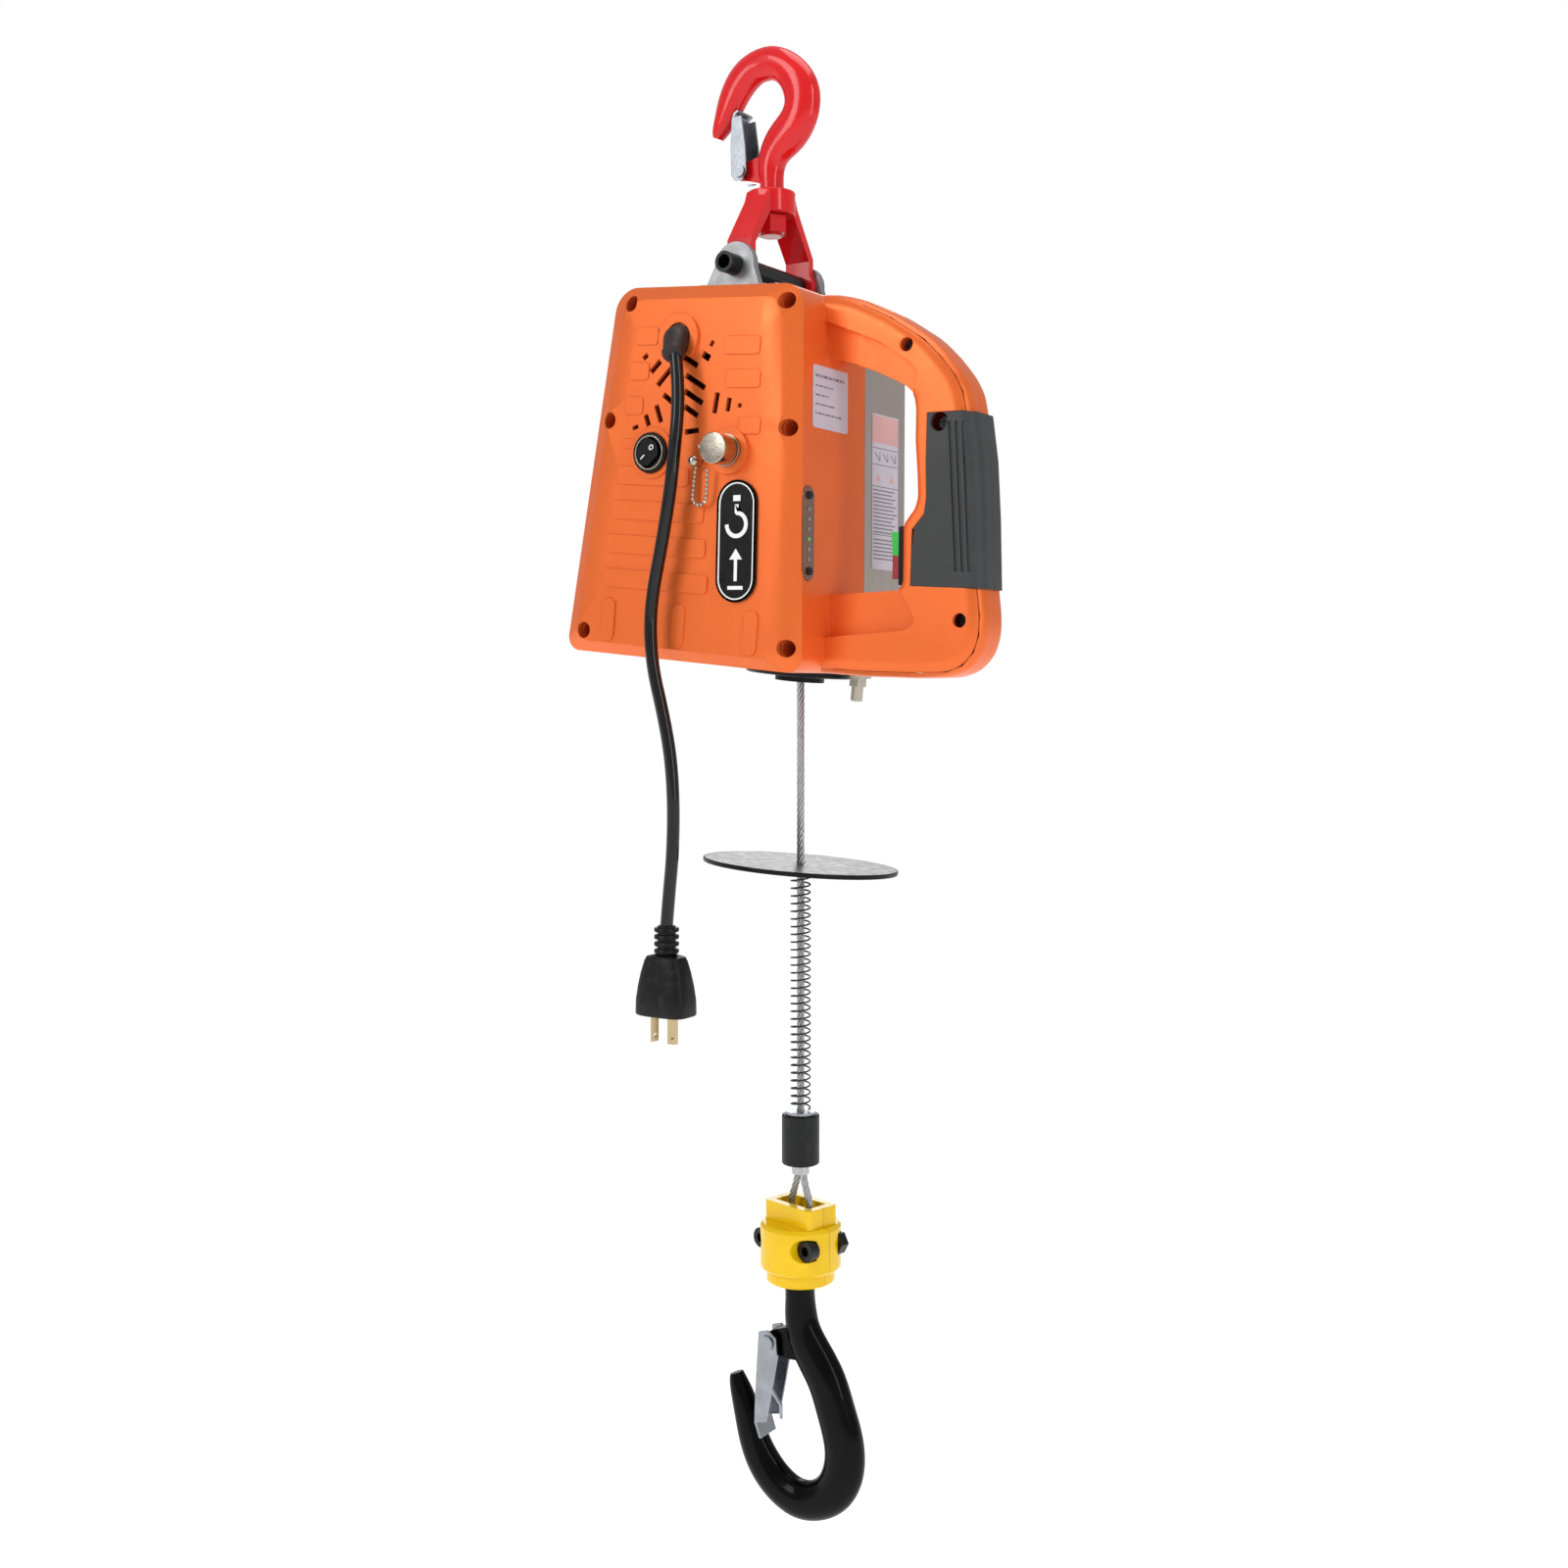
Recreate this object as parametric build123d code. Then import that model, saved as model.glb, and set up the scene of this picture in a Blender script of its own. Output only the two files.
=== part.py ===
from build123d import *
import math
import os

os.makedirs("parts", exist_ok=True)

# ---------------------------------------------------------------- driving dimensions (mm)
TILT = 5.5            # the hoist body hangs turned this far about its suspension pin
PIN_Z = -125.5        # suspension pin below the saddle of the top hook
PIN_R = 6.5
EAR_Y = 36.5          # inner face of the hanger ears
EAR_T = 5.0
LEG_Y = 31.0          # inner face of the yoke legs
LEG_T = 5.0
BODY_XC = -5.0        # middle of the housing from the pin, body frame
BODY_TOP = -16.0
BODY_BOT = -246.5
BODY_HW = 69.4        # half width at the top of the housing
BODY_SLOPE = 0.09     # half width gained per millimetre going down
FRONT_Y = -67.0
COVER_Y = 12.0        # rear edge of the plastic cover
REAR_Y = 63.0
WALL = 3.0
CHAM_X, CHAM_Y = 13.0, 7.0
HANDLE_Y = -19.0      # middle plane of the handle
HANDLE_HALF = 17.0
DRUM_X, DRUM_Z = -21.0, -125.0
ROPE_R = 2.5
ROPE_X, ROPE_Y = 4.4, 28.0
ROPE_TOP = -248.0
DISC_Z, DISC_R, DISC_T, DISC_TILT = -502.0, 63.5, 3.0, 4.4
SPRING_TOP, SPRING_BOT = -504.6, -660.6
SPRING_R, SPRING_WIRE, SPRING_TURNS = 6.2, 0.6, 31
SLEEVE_R, SLEEVE_TOP, SLEEVE_BOT = 12.3, -663.6, -695.8
BLOCK_TURN = -13.0
CORD_R = 4.0
FIT = 0.05            # running clearance on the radius
SUN_TEETH, PLANET_TEETH, RING_TEETH = 15, 15, 45    # ring = sun + 2 planets, (sun + ring) / 3 is whole; fixed ring gives 1 + 45/15 = 4 to 1


def save(name, shape):
    solids = list(shape.solids()) if not isinstance(shape, (list, tuple)) else [
        s for p in shape for s in p.solids()]
    out = solids[0] if len(solids) == 1 else Compound(children=[Solid(s.wrapped) for s in solids])
    export_step(out, "parts/%s.step" % name)
    print(name, len(solids), round(sum(s.volume for s in solids)))


def body(shape):
    """From the body frame (pin at the origin, housing upright) to where it hangs."""
    return Pos(0, 0, PIN_Z) * Rot(0, TILT, 0) * shape


def load(shape):
    return Pos(ROPE_X, ROPE_Y, 0) * shape


def block(shape):
    return Pos(ROPE_X, ROPE_Y, 0) * Rot(0, 0, BLOCK_TURN) * shape


def poly(pts, radii=None):
    """Closed XZ outline as a face; radii rounds single corners."""
    face = make_face(Polyline(*[(p[0], p[1]) for p in pts], close=True))
    if radii:
        for (x, z), r in radii:
            near = sorted(face.vertices(), key=lambda v: (v.X - x) ** 2 + (v.Y - z) ** 2)[:1]
            face = fillet(near, r)
    return face


def prism(face, y0, y1):
    """XZ face pushed out from y1 to y0."""
    return extrude(Pos(0, y1, 0) * (Plane.XZ * face), amount=y1 - y0)


def cyl(axis, c, r, a, b):
    """Cylinder along an axis from a to b, centred on the other two coordinates."""
    h = b - a
    if axis == "y":
        return Pos(c[0], (a + b) / 2, c[1]) * Rot(90, 0, 0) * Cylinder(r, h)
    if axis == "x":
        return Pos((a + b) / 2, c[0], c[1]) * Rot(0, 90, 0) * Cylinder(r, h)
    return Pos(c[0], c[1], (a + b) / 2) * Cylinder(r, h)


def hexa(axis, c, af, a, b):
    f = RegularPolygon(af / math.sqrt(3), 6)
    if axis == "z":
        return Pos(c[0], c[1], a) * extrude(f, amount=b - a)
    if axis == "y":
        return Pos(c[0], b, c[1]) * Rot(90, 0, 0) * extrude(f, amount=b - a)
    return Pos(a, c[0], c[1]) * Rot(0, 90, 0) * extrude(f, amount=b - a)


def bar(x0, x1, y0, y1, z0, z1):
    return Pos((x0 + x1) / 2, (y0 + y1) / 2, (z0 + z1) / 2) * Box(x1 - x0, y1 - y0, z1 - z0)


def soft(shape, edges, r):
    """Round edges, trying smaller radii when the first is refused."""
    for k in (1.0, 0.7, 0.45, 0.25):
        try:
            out = fillet(edges, r * k)
            if out.is_valid:
                return out
        except Exception:
            pass
    return shape


def hook_loft(stations):
    """Forged hook: elliptical sections (x, z, half width, half thickness) along the curve."""
    faces = []
    n = len(stations)
    for i, (x, z, a, b) in enumerate(stations):
        p, q = stations[max(i - 1, 0)], stations[min(i + 1, n - 1)]
        tx, tz = q[0] - p[0], q[1] - p[1]
        m = math.hypot(tx, tz)
        faces.append(Plane(origin=(x, 0, z), x_dir=(tz / m, 0, -tx / m), z_dir=(tx / m, 0, tz / m)) * Ellipse(a, b))
    return loft(faces)


def hw(z, off=0.0):
    return BODY_HW + BODY_SLOPE * (BODY_TOP - z) - off


def outline(off=0.0, ix=0.0, it=0.0, ib=0.0):
    """Rounded trapezoid of the housing, pulled in by off all round and by ix, it, ib at the sides, top and bottom."""
    zt, zb = BODY_TOP - off - it, BODY_BOT + off + ib
    pts = [(BODY_XC - hw(zt, off + ix), zt), (BODY_XC + hw(zt, off + ix), zt),
           (BODY_XC + hw(zb, off + ix), zb), (BODY_XC - hw(zb, off + ix), zb)]
    return poly(pts, [(pts[0], 17 - off), (pts[1], 15 - off), (pts[2], 10 - off), (pts[3], 9 - off)])


def housing(y0, y1, off=0.0, chamfer_front=False):
    if not chamfer_front:
        return prism(outline(off), y0, y1)
    s = prism(outline(off), y0 + CHAM_Y, y1)
    lofted = loft([Pos(0, y0, 0) * (Plane.XZ * outline(off, CHAM_X - 1.0, 9.0, 7.0)),
                   Pos(0, y0 + CHAM_Y, 0) * (Plane.XZ * outline(off))], ruled=True)
    return s + lofted


# ---------------------------------------------------------------- top hook group
TOP = [(0, -71.4, 8.2, 8.2), (0, -58, 8.4, 8.2), (2, -49, 10.2, 8.4), (8, -41, 12.6, 8.8), (16.5, -33, 13.2, 9.2),
       (21.7, -25, 12.6, 9.2), (23.5, -14.5, 12.2, 9.2), (18.8, -1.6, 11.4, 9.0), (10.4, 7, 10.6, 8.8),
       (0.6, 11, 10.9, 8.6), (-11, 10.3, 11.0, 8.4), (-20.3, 5.2, 11.2, 8.2), (-26.8, -2.4, 10.6, 7.8),
       (-31.6, -11, 9.6, 7.2), (-35.6, -19, 7.8, 6.4), (-39.4, -26, 5.6, 5.4), (-41.2, -30.5, 3.2, 3.6)]
TOP_RIVET = (-18.8, -56.5)
hook = hook_loft(TOP) + cyl("z", (0, 0), 7.0, -99.5, -71.3)
hook += prism(poly([(-4, -47), (-16, -50), (-22.5, -56), (-21, -61.5), (-15, -62.5), (-4, -66)]), -3.6, 3.6)
hook -= cyl("y", TOP_RIVET, 2.5 + FIT, -10, 10)
save("top_hook", hook)
save("top_hook_nut", soft(hexa("z", (0, 0), 19.0, -98.2, -87.0), [], 0) - cyl("z", (0, 0), 7.0, -100, -80))
rv = cyl("y", TOP_RIVET, 2.5, -8.6, 8.6) + cyl("y", TOP_RIVET, 4.0, -9.8, -8.6) + cyl("y", TOP_RIVET, 4.0, 8.6, 9.8)
save("top_latch_rivet", rv)


def latch(profile, hole, y_out, t, web):
    """Pressed-steel channel: two cheeks from the profile and a web along its mouth edge."""
    cheeks = prism(profile, -y_out, -y_out + t) + prism(profile, y_out - t, y_out)
    s = cheeks + prism(web, -y_out, y_out)
    return s - cyl("y", hole, 2.5 + FIT, -20, 20)


lp = poly([(-25.2, -58.5), (-22.5, -62.0), (-17.0, -62.0), (-13.8, -57.0), (-14.8, -40.0), (-17.6, -21.0), (-24.6, -21.5), (-25.8, -40.0)])
lw = poly([(-25.2, -52.0), (-25.8, -40.0), (-24.9, -22.5), (-23.4, -18.4), (-20.4, -16.8), (-19.9, -18.2), (-22.2, -19.6), (-23.4, -22.8), (-24.3, -40.0), (-23.7, -52.0)])
save("top_latch", latch(lp, TOP_RIVET, 8.4, 1.4, lw))


def torsion(center, r, wire, y0, turns, pitch):
    h = Helix(pitch=pitch, height=pitch * turns, radius=r)
    h = Pos(center[0], y0, center[1]) * Rot(-90, 0, 0) * h
    prof = Plane(origin=h @ 0, z_dir=h % 0) * Circle(wire)
    return sweep(prof, path=h)


save("top_latch_spring", torsion(TOP_RIVET, 3.6, 0.45, -6.3, 2.2, 1.0))

# yoke: collar, two splayed legs, eyes on the pin
yk = cyl("z", (0, 0), 15.5, -86.5, -71.5)
yk = soft(yk, yk.edges(), 1.2)
yk -= cyl("z", (0, 0), 7.0 + FIT, -100, -60)
for sgn in (-1, 1):
    prof = [(sgn * 9.0, -73.0), (sgn * 14.4, -73.0), (sgn * 17.0, -80.0), (sgn * 36.0, -108.0), (sgn * 36.0, PIN_Z),
            (sgn * 31.0, PIN_Z), (sgn * 31.0, -110.0), (sgn * 12.5, -84.5), (sgn * 9.0, -84.5)]
    arm = extrude(Plane.YZ * make_face(Polyline(*prof, close=True)), amount=9.0, both=True)
    eye = cyl("y", (0, PIN_Z), 11.0, min(sgn * 31.0, sgn * 36.0), max(sgn * 31.0, sgn * 36.0))
    yk += arm + eye
yk -= cyl("z", (0, 0), 12.6, -100, -86.4)
yk -= cyl("z", (0, 0), 7.0 + FIT, -100, -60)
yk -= cyl("y", (0, PIN_Z), PIN_R + FIT, -60, 60)
save("hanger_yoke", yk)
pin = cyl("y", (0, PIN_Z), PIN_R, -53, 45.0) + cyl("y", (0, PIN_Z), 11.0, 41.8, 44.0)
pin -= cyl("y", (0, PIN_Z), 4.3, -54, -40)
save("suspension_pin", pin)

# ---------------------------------------------------------------- hanger bracket on the body
br = bar(-25, 25, -EAR_Y - EAR_T, EAR_Y + EAR_T, -14.0, -11.9)
for sgn in (-1, 1):
    a, b = sorted((sgn * EAR_Y, sgn * (EAR_Y + EAR_T)))
    ear = prism(poly([(-20, -13.0), (20, -13.0), (14.2, 0), (-14.2, 0)]), a, b) + cyl("y", (0, 0), 14.4, a, b)
    ear = ear & bar(-30, 30, a, b, -14, 40)
    br += ear
br -= cyl("y", (0, 0), PIN_R, -60, 60)
BOLT_XY = [(-19, -22), (19, -22), (-19, 22), (19, 22)]
for x, y in BOLT_XY:
    br -= cyl("z", (x, y), 3.0, -20, 0)
save("hanger_bracket", body(br))
tp = extrude(Pos(-1.5, 0, -16) * RectangleRounded(84, 94, 6), amount=1.95)
for x, y in BOLT_XY:
    tp -= cyl("z", (x, y), 3.0, -20, 0)
save("top_plate", body(tp))
bolts = []
for x, y in BOLT_XY:
    bolts.append(body(cyl("z", (x, y), 2.95, -26.5, -11.9) + hexa("z", (x, y), 9.0, -11.9, -8.4)))
save("bracket_bolts", bolts)

# ---------------------------------------------------------------- plastic cover with the front half of the handle
OUT = [(40, -30), (50, -17.5), (69, -17.0), (87, -20.5), (111, -30), (135, -43), (148, -54), (158.5, -65), (164.5, -74.5),
       (167.5, -85), (174.2, -113), (179, -146), (184, -185.5), (187.6, -203), (188.2, -215), (185.5, -226), (178, -235.5),
       (167, -240.5), (145, -243), (110, -245.3), (60, -246.3), (60, -225)]
INN = [(60, -54), (86, -59.5), (104, -65), (122, -72), (130, -78), (132, -86), (133.5, -105), (136.6, -124), (138.3, -137.5),
       (137, -144), (131.0, -152.5), (130.5, -156), (133.0, -186), (132.5, -190), (128, -192.5), (112, -194.5), (60, -200.5)]


def flowing(pts, most, x_from=62.0):
    """Outline with every corner beyond x_from drawn as the largest arc its two runs allow."""
    radii = []
    n = len(pts)
    for i, p in enumerate(pts):
        a, b = pts[i - 1], pts[(i + 1) % n]
        if p[0] < x_from:
            continue
        u, w = (p[0] - a[0], p[1] - a[1]), (b[0] - p[0], b[1] - p[1])
        lu, lw = math.hypot(*u), math.hypot(*w)
        turn = math.acos(max(-1, min(1, (u[0] * w[0] + u[1] * w[1]) / lu / lw)))
        if turn > math.radians(1.5):
            radii.append((p, min(most, 0.42 * min(lu, lw) / math.tan(turn / 2))))
    return poly(pts, radii)


def ring_face(grow):
    """Handle outline less its hand opening; grow < 0 is the inside of the shell wall."""
    outer = poly(OUT) if grow else flowing(OUT, 90.0)
    inner = poly(INN) if grow else flowing(INN, 14.0)
    if grow:
        outer = offset(outer, amount=grow, kind=Kind.INTERSECTION)
        inner = offset(inner, amount=-grow, kind=Kind.INTERSECTION)
    return outer - inner


HY0, HY1 = HANDLE_Y - HANDLE_HALF, HANDLE_Y + HANDLE_HALF
hull_out = housing(FRONT_Y, COVER_Y, 0, True)
hull_in = housing(FRONT_Y + WALL, COVER_Y + 5, WALL, True)
clip = bar(58, 230, -200, 200, -400, 100)
TUBE_R, LIP_R = 10.5, 4.0    # rounding of the handle tube and of the edge of the hand opening
WEB_DEEP = 6.0               # the web beside the tube lies this far below the handle's face
WEB_TOP = [(55, -32), (68, -35), (105.6, -47.5), (127, -59.5), (132.5, -64.5), (131.0, -74.0), (128, -84), (118, -78), (86, -66), (55, -60)]
WEB_LOW = [(55, -228), (88, -223.4), (138, -215.5), (145, -210.5), (140, -202.5), (131.5, -190.5), (126, -184), (55, -192)]


def rounded_ring(y0, y1, y_face):
    """One half of the handle, its tube rounded on the face side."""
    r = prism(flowing(OUT, 90.0), y0, y1)
    r = soft(r, [e for e in r.edges() if abs(e.center().Y - y_face) < 0.01 and e.center().X > 62], TUBE_R)
    r -= prism(flowing(INN, 14.0), y0 - 1, y1 + 1)
    lip = [e for e in r.edges() if abs(e.center().Y - y_face) < 0.01 and 62 < e.center().X < 142 and -203 < e.center().Z < -50]
    return soft(r, lip, LIP_R)


def webs(grow, y0, y1):
    out = None
    for pts in (WEB_TOP, WEB_LOW):
        f = poly(pts, [(pts[3], 6.0), (pts[4], 4.0)] if pts is WEB_TOP else [(pts[2], 6.0), (pts[3], 3.5)])
        if grow:
            f = offset(f, amount=grow, kind=Kind.INTERSECTION)
        p = prism(f, y0, y1)
        out = p if out is None else out + p
    return out


ring_f = rounded_ring(HY0, HANDLE_Y, HY0)
ring_cav = prism(ring_face(-3.0), HY0 + 3.0, HANDLE_Y + 1) & bar(90, 230, -200, 200, -400, 100)
ring_cav -= webs(3.0, HY0 - 5, HY0 + WEB_DEEP + 3.0)
web_f = webs(0, HY0 - 5, HY0 + WEB_DEEP) & bar(58, 230, -200, 200, -400, 100)
SCREWS = [(-59, -27), (56, -27), (-69, -100), (64.5, -102), (-77, -233), (75.5, -232)]
HSCREWS = [(123.5, -49), (149.5, -93.5), (173.5, -207.0)]
cover = (hull_out - hull_in) + ((ring_f & clip) - web_f)
cover -= hull_in
cover -= ring_cav
GR_OUT = [(141.0, -88.5), (169.2, -86.5), (175.0, -113), (180, -146), (185, -188.0), (139.5, -189.5), (137.5, -156.5),
          (144.6, -147.0), (145.2, -137.5), (143.0, -118)]
grip_face = poly(GR_OUT)
grip_zone = prism(grip_face, HY0 - 2, HANDLE_Y + 40)
cover -= prism(grip_face, HY0 - 5, HY0 + 3.0)
cover -= prism(poly([(160, -86.7), (200, -84), (200, -187.0), (176, -188.2)]), HY0 - 5, HANDLE_Y + 1) & bar(168, 230, -90, 90, -188.2, -86.6)
for x, z in SCREWS:
    cover += (cyl("y", (x, z), 8.0, FRONT_Y + 6, COVER_Y) & hull_out)
    cover -= cyl("y", (x, z), 5.2, FRONT_Y - 5, FRONT_Y + 24)
    cover -= cyl("y", (x, z), 2.2, FRONT_Y - 5, COVER_Y + 5)
for x, z in HSCREWS:
    cover += cyl("y", (x, z), 6.4, HY0 + 3.2, HANDLE_Y) & ring_f
    cover -= cyl("y", (x, z), 4.2, HY0 - 5, HY0 + 9)
    cover -= cyl("y", (x, z), 2.1, HY0 - 5, HANDLE_Y + 5)
# strain relief boss, rocker boss, socket boss
GLAND = (-18.5, -48.8)
ROCK = (-32.0, -119.8)
SOCK = (25.5, -117.0)
cover += cyl("y", GLAND, 15.0, FRONT_Y - 2.0, FRONT_Y + 1) - cyl("y", GLAND, 9.0, FRONT_Y - 5, FRONT_Y + 5)
cover += cyl("y", ROCK, 15.8, FRONT_Y - 2.2, FRONT_Y + 1) - cyl("y", ROCK, 12.6, FRONT_Y - 5, FRONT_Y + 5)
cover += cyl("y", SOCK, 14.2, FRONT_Y - 2.6, FRONT_Y + 1)
cover -= cyl("y", GLAND, 6.0, FRONT_Y - 5, FRONT_Y + 5)
cover -= cyl("y", ROCK, 10.6, FRONT_Y - 5, FRONT_Y + 5)
cover -= cyl("y", SOCK, 8.2, FRONT_Y - 5, FRONT_Y + 5)
# vents: slanted slots in four arms
VENTS = [(-9, -63, 13, 3.6, -28), (-4, -75.5, 17, 3.6, -28), (-4.5, -85, 16, 3.6, -28), (-5.5, -93.5, 12, 3.6, -28),
         (-35.2, -66.4, 9.5, 3.6, 46), (-28.0, -72.8, 14, 3.6, 48), (-43.8, -60.3, 4, 3.2, 40), (-23.8, -86, 9, 3.4, -34),
         (-30.2, -95.4, 11.5, 3.4, -66), (-38.7, -99.5, 7.5, 3.4, -66), (-47.5, -104.0, 4.5, 2.6, 20),
         (12.6, -88.3, 12.5, 3.4, 84), (22.0, -89.2, 8, 3.2, 84), (30.2, -89.6, 2.6, 2.4, 0), (2.6, -60.2, 6.5, 4.2, -28),
         (6.2, -52.5, 3.6, 2.6, 60), (-3.8, -105.6, 10.5, 3.4, 8)]
for x, z, lx, lz, ang in VENTS:
    cover -= Pos(x, FRONT_Y + 1, z) * Rot(0, -ang, 0) * Box(lx, 8, lz)
# raised pads and long ribs on the face
PADS = [(-43.2, -47.6, 17, 11), (-47.4, -69.3, 15, 11), (-49.6, -90.6, 14, 11), (-50.4, -114.2, 13, 6),
        (29.0, -53.6, 26, 11), (31.4, -73.6, 25, 11), (38.6, -101.4, 16, 10.5)]
for x, z, lx, lz in PADS:
    cover += Pos(x, FRONT_Y, z) * Rot(90, 0, 0) * extrude(RectangleRounded(lx, lz, 2.2), amount=0.7)
RIBS = [(-31.0, -134.0, 56, 11.4), (-25.3, -155.6, 71, 11.6), (-24.8, -176.9, 76.5, 11.4), (-23.6, -198.4, 81, 11.4)]
for x, z, lx, lz in RIBS:
    cover += Pos(x, FRONT_Y, z) * Rot(90, 0, 0) * extrude(RectangleRounded(lx, lz, 2.6), amount=1.0)
cover -= cyl("y", ROCK, 12.6, FRONT_Y - 5, FRONT_Y + 0.0)
for x in (-57.5, -3.0, 51.0):
    cover += Pos(x, FRONT_Y, -225.0) * Rot(90, 0, 0) * extrude(RectangleRounded(10.2, 27, 4.6), amount=1.0)
for sx in (1,):
    # pocket for the lamp window on the side wall
    pass
WIN_Z0, WIN_Z1, WIN_Y = -187.5, -138.5, -53.8


def side_x(z):
    return BODY_XC + hw(z)


ang_side = math.degrees(math.atan(BODY_SLOPE))


def on_side(shape, y, z):
    """Places a piece drawn in XY (x along depth, y upward, z outward) on the right wall."""
    upright = Plane(origin=(0, 0, 0), x_dir=(0, 1, 0), z_dir=(1, 0, 0)) * shape
    return Pos(side_x(z), y, z) * (Rot(0, -ang_side, 0) * upright)


ZC = (WIN_Z0 + WIN_Z1) / 2
cover -= on_side(Pos(0, 0, -1.6) * extrude(SlotOverall(56.5, 12.6, rotation=90), amount=4), WIN_Y, ZC)
cover -= on_side(Pos(0, 0, -5) * extrude(RectangleRounded(6.0, 34, 2.5), amount=8), WIN_Y, ZC)
for dz in (-22.6, 22.6):
    cover -= on_side(Pos(0, dz, -6) * Cylinder(1.3, 14), WIN_Y, ZC)
cover = cover.solids().sort_by(SortBy.VOLUME)[-1]

win = on_side(Pos(0, 0, -1.55) * extrude(SlotOverall(56.2, 12.3, rotation=90), amount=2.0), WIN_Y, ZC)
for dz in (-22.6, 22.6):
    win -= on_side(Pos(0, dz, -6) * Cylinder(1.35, 14), WIN_Y, ZC)
save("lamp_window", body(win))
ws = []
for dz in (-22.6, 22.6):
    w = on_side(Pos(0, dz, -3.6) * Cylinder(1.25, 8.2), WIN_Y, ZC) + on_side(Pos(0, dz, 1.25) * Cylinder(2.4, 1.5), WIN_Y, ZC)
    w -= on_side(Pos(0, dz, 2.0) * Box(2.6, 0.6, 1.4), WIN_Y, ZC)
    ws.append(body(w))

# rear half of the handle
ring_r = rounded_ring(HANDLE_Y + 0.05, HY1, HY1)
solid_side = housing(FRONT_Y, REAR_Y + 20, -0.15)
rear_half = (ring_r & clip) - solid_side - webs(0, HY1 - WEB_DEEP, HY1 + 5)
rear_half -= (prism(ring_face(-3.0), HANDLE_Y - 1, HY1 - 3.0) & bar(96, 230, -200, 200, -400, 100)) - webs(3.0, HY1 - WEB_DEEP - 3.0, HY1 + 5)
rear_half -= prism(grip_face, HY1 - 3.0, HY1 + 5)
rear_half -= prism(poly([(160, -86.7), (200, -84), (200, -187.0), (176, -188.2)]), HANDLE_Y - 1, HY1 + 5) & bar(168, 230, -90, 90, -188.2, -86.6)
for x, z in HSCREWS:
    rear_half += cyl("y", (x, z), 5.4, HANDLE_Y + 0.05, HY1 - 3.2) & ring_r
    rear_half -= cyl("y", (x, z), 1.9, HANDLE_Y - 1, HY1 - 4)
rear_half = rear_half.solids().sort_by(SortBy.VOLUME)[-1]
cs = []
for x, z in SCREWS:
    s = cyl("y", (x, z), 4.0, FRONT_Y + 20.9, FRONT_Y + 23.9) + cyl("y", (x, z), 2.1, FRONT_Y + 23.9, COVER_Y - 0.1)
    s -= Pos(x, FRONT_Y + 21.2, z) * Box(4.6, 2.0, 1.0)
    s -= Pos(x, FRONT_Y + 21.2, z) * Box(1.0, 2.0, 4.6)
    cs.append(body(s))
hs = []
for x, z in HSCREWS:
    s = cyl("y", (x, z), 3.4, HY0 + 6.2, HY0 + 8.9) + cyl("y", (x, z), 1.85, HY0 + 8.9, HY1 - 4.5)
    s -= Pos(x, HY0 + 6.5, z) * Box(4.2, 1.6, 0.9)
    s -= Pos(x, HY0 + 6.5, z) * Box(0.9, 1.6, 4.2)
    hs.append(body(s))
save("housing_screws", cs + hs + ws)

# soft grip inserts, one in each half
def grip(y_outer, sgn):
    ff = offset(poly(GR_OUT), amount=-0.1, kind=Kind.INTERSECTION)
    a, b = sorted((y_outer, y_outer + sgn * 2.9))
    s = prism(ff, a, b)
    face = poly([(168.15, -87.2), (169.5, -87.2), (175.3, -113), (180.4, -146), (185.1, -187.6), (168.15, -187.6)])
    return s, face


gf, gface = grip(HY0 + 0.0, 1)
shell_out = prism(poly([(141, -86.9), (170.3, -86.9), (176.2, -113), (181.0, -146), (185.8, -188.0), (138, -189.6)]), HY0, HANDLE_Y - 0.1)
shell_out = soft(shell_out, [e for e in shell_out.edges() if abs(e.center().Y - HY0) < 0.01 and e.center().X > 167], 9.0)
gf = (gf & shell_out) + (shell_out & bar(168.2, 230, -90, 90, -187.9, -86.9) - prism(ring_face(-3.0), HY0 + 3.0, HANDLE_Y + 1))
FLUTES = (156.6, 160.9, 165.2)


def flute(x0, y0, y1):
    """Groove down the grip with round ends."""
    s = prism(poly([(x0 - 1.1, -94), (x0 + 1.1, -94), (x0 + 13.1, -178), (x0 + 10.9, -178)]), y0, y1)
    return s + cyl("y", (x0, -94), 1.11, y0, y1) + cyl("y", (x0 + 12.0, -178), 1.11, y0, y1)


for x0 in FLUTES:
    gf -= flute(x0, HY0 - 1, HY0 + 1.0)
gf -= cyl("y", HSCREWS[1], 5.6, HY0 - 5, HY0 + 5)
gf -= cyl("y", HSCREWS[2], 4.4, HY0 - 5, HY0 + 12)
gf = gf.solids().sort_by(SortBy.VOLUME)[-1]
save("grip_front", body(gf))
cover -= gf
mirror_plane = Plane.XZ.offset(-HANDLE_Y)
gr = mirror(prism(offset(poly(GR_OUT), amount=-0.1, kind=Kind.INTERSECTION), HY0, HY0 + 2.9) & shell_out, about=mirror_plane)
gr2 = mirror(shell_out & bar(168.2, 230, -90, 90, -187.9, -86.9) - prism(ring_face(-3.0), HY0 + 3.0, HANDLE_Y + 1), about=mirror_plane)
gr = gr + gr2
for x0 in FLUTES:
    gr -= flute(x0, HY1 - 1.0, HY1 + 1)
gr = gr.solids().sort_by(SortBy.VOLUME)[-1]
save("grip_rear", body(gr))
rear_half -= gr
rear_half = rear_half.solids().sort_by(SortBy.VOLUME)[-1]
save("handle_rear", body(rear_half))

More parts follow.
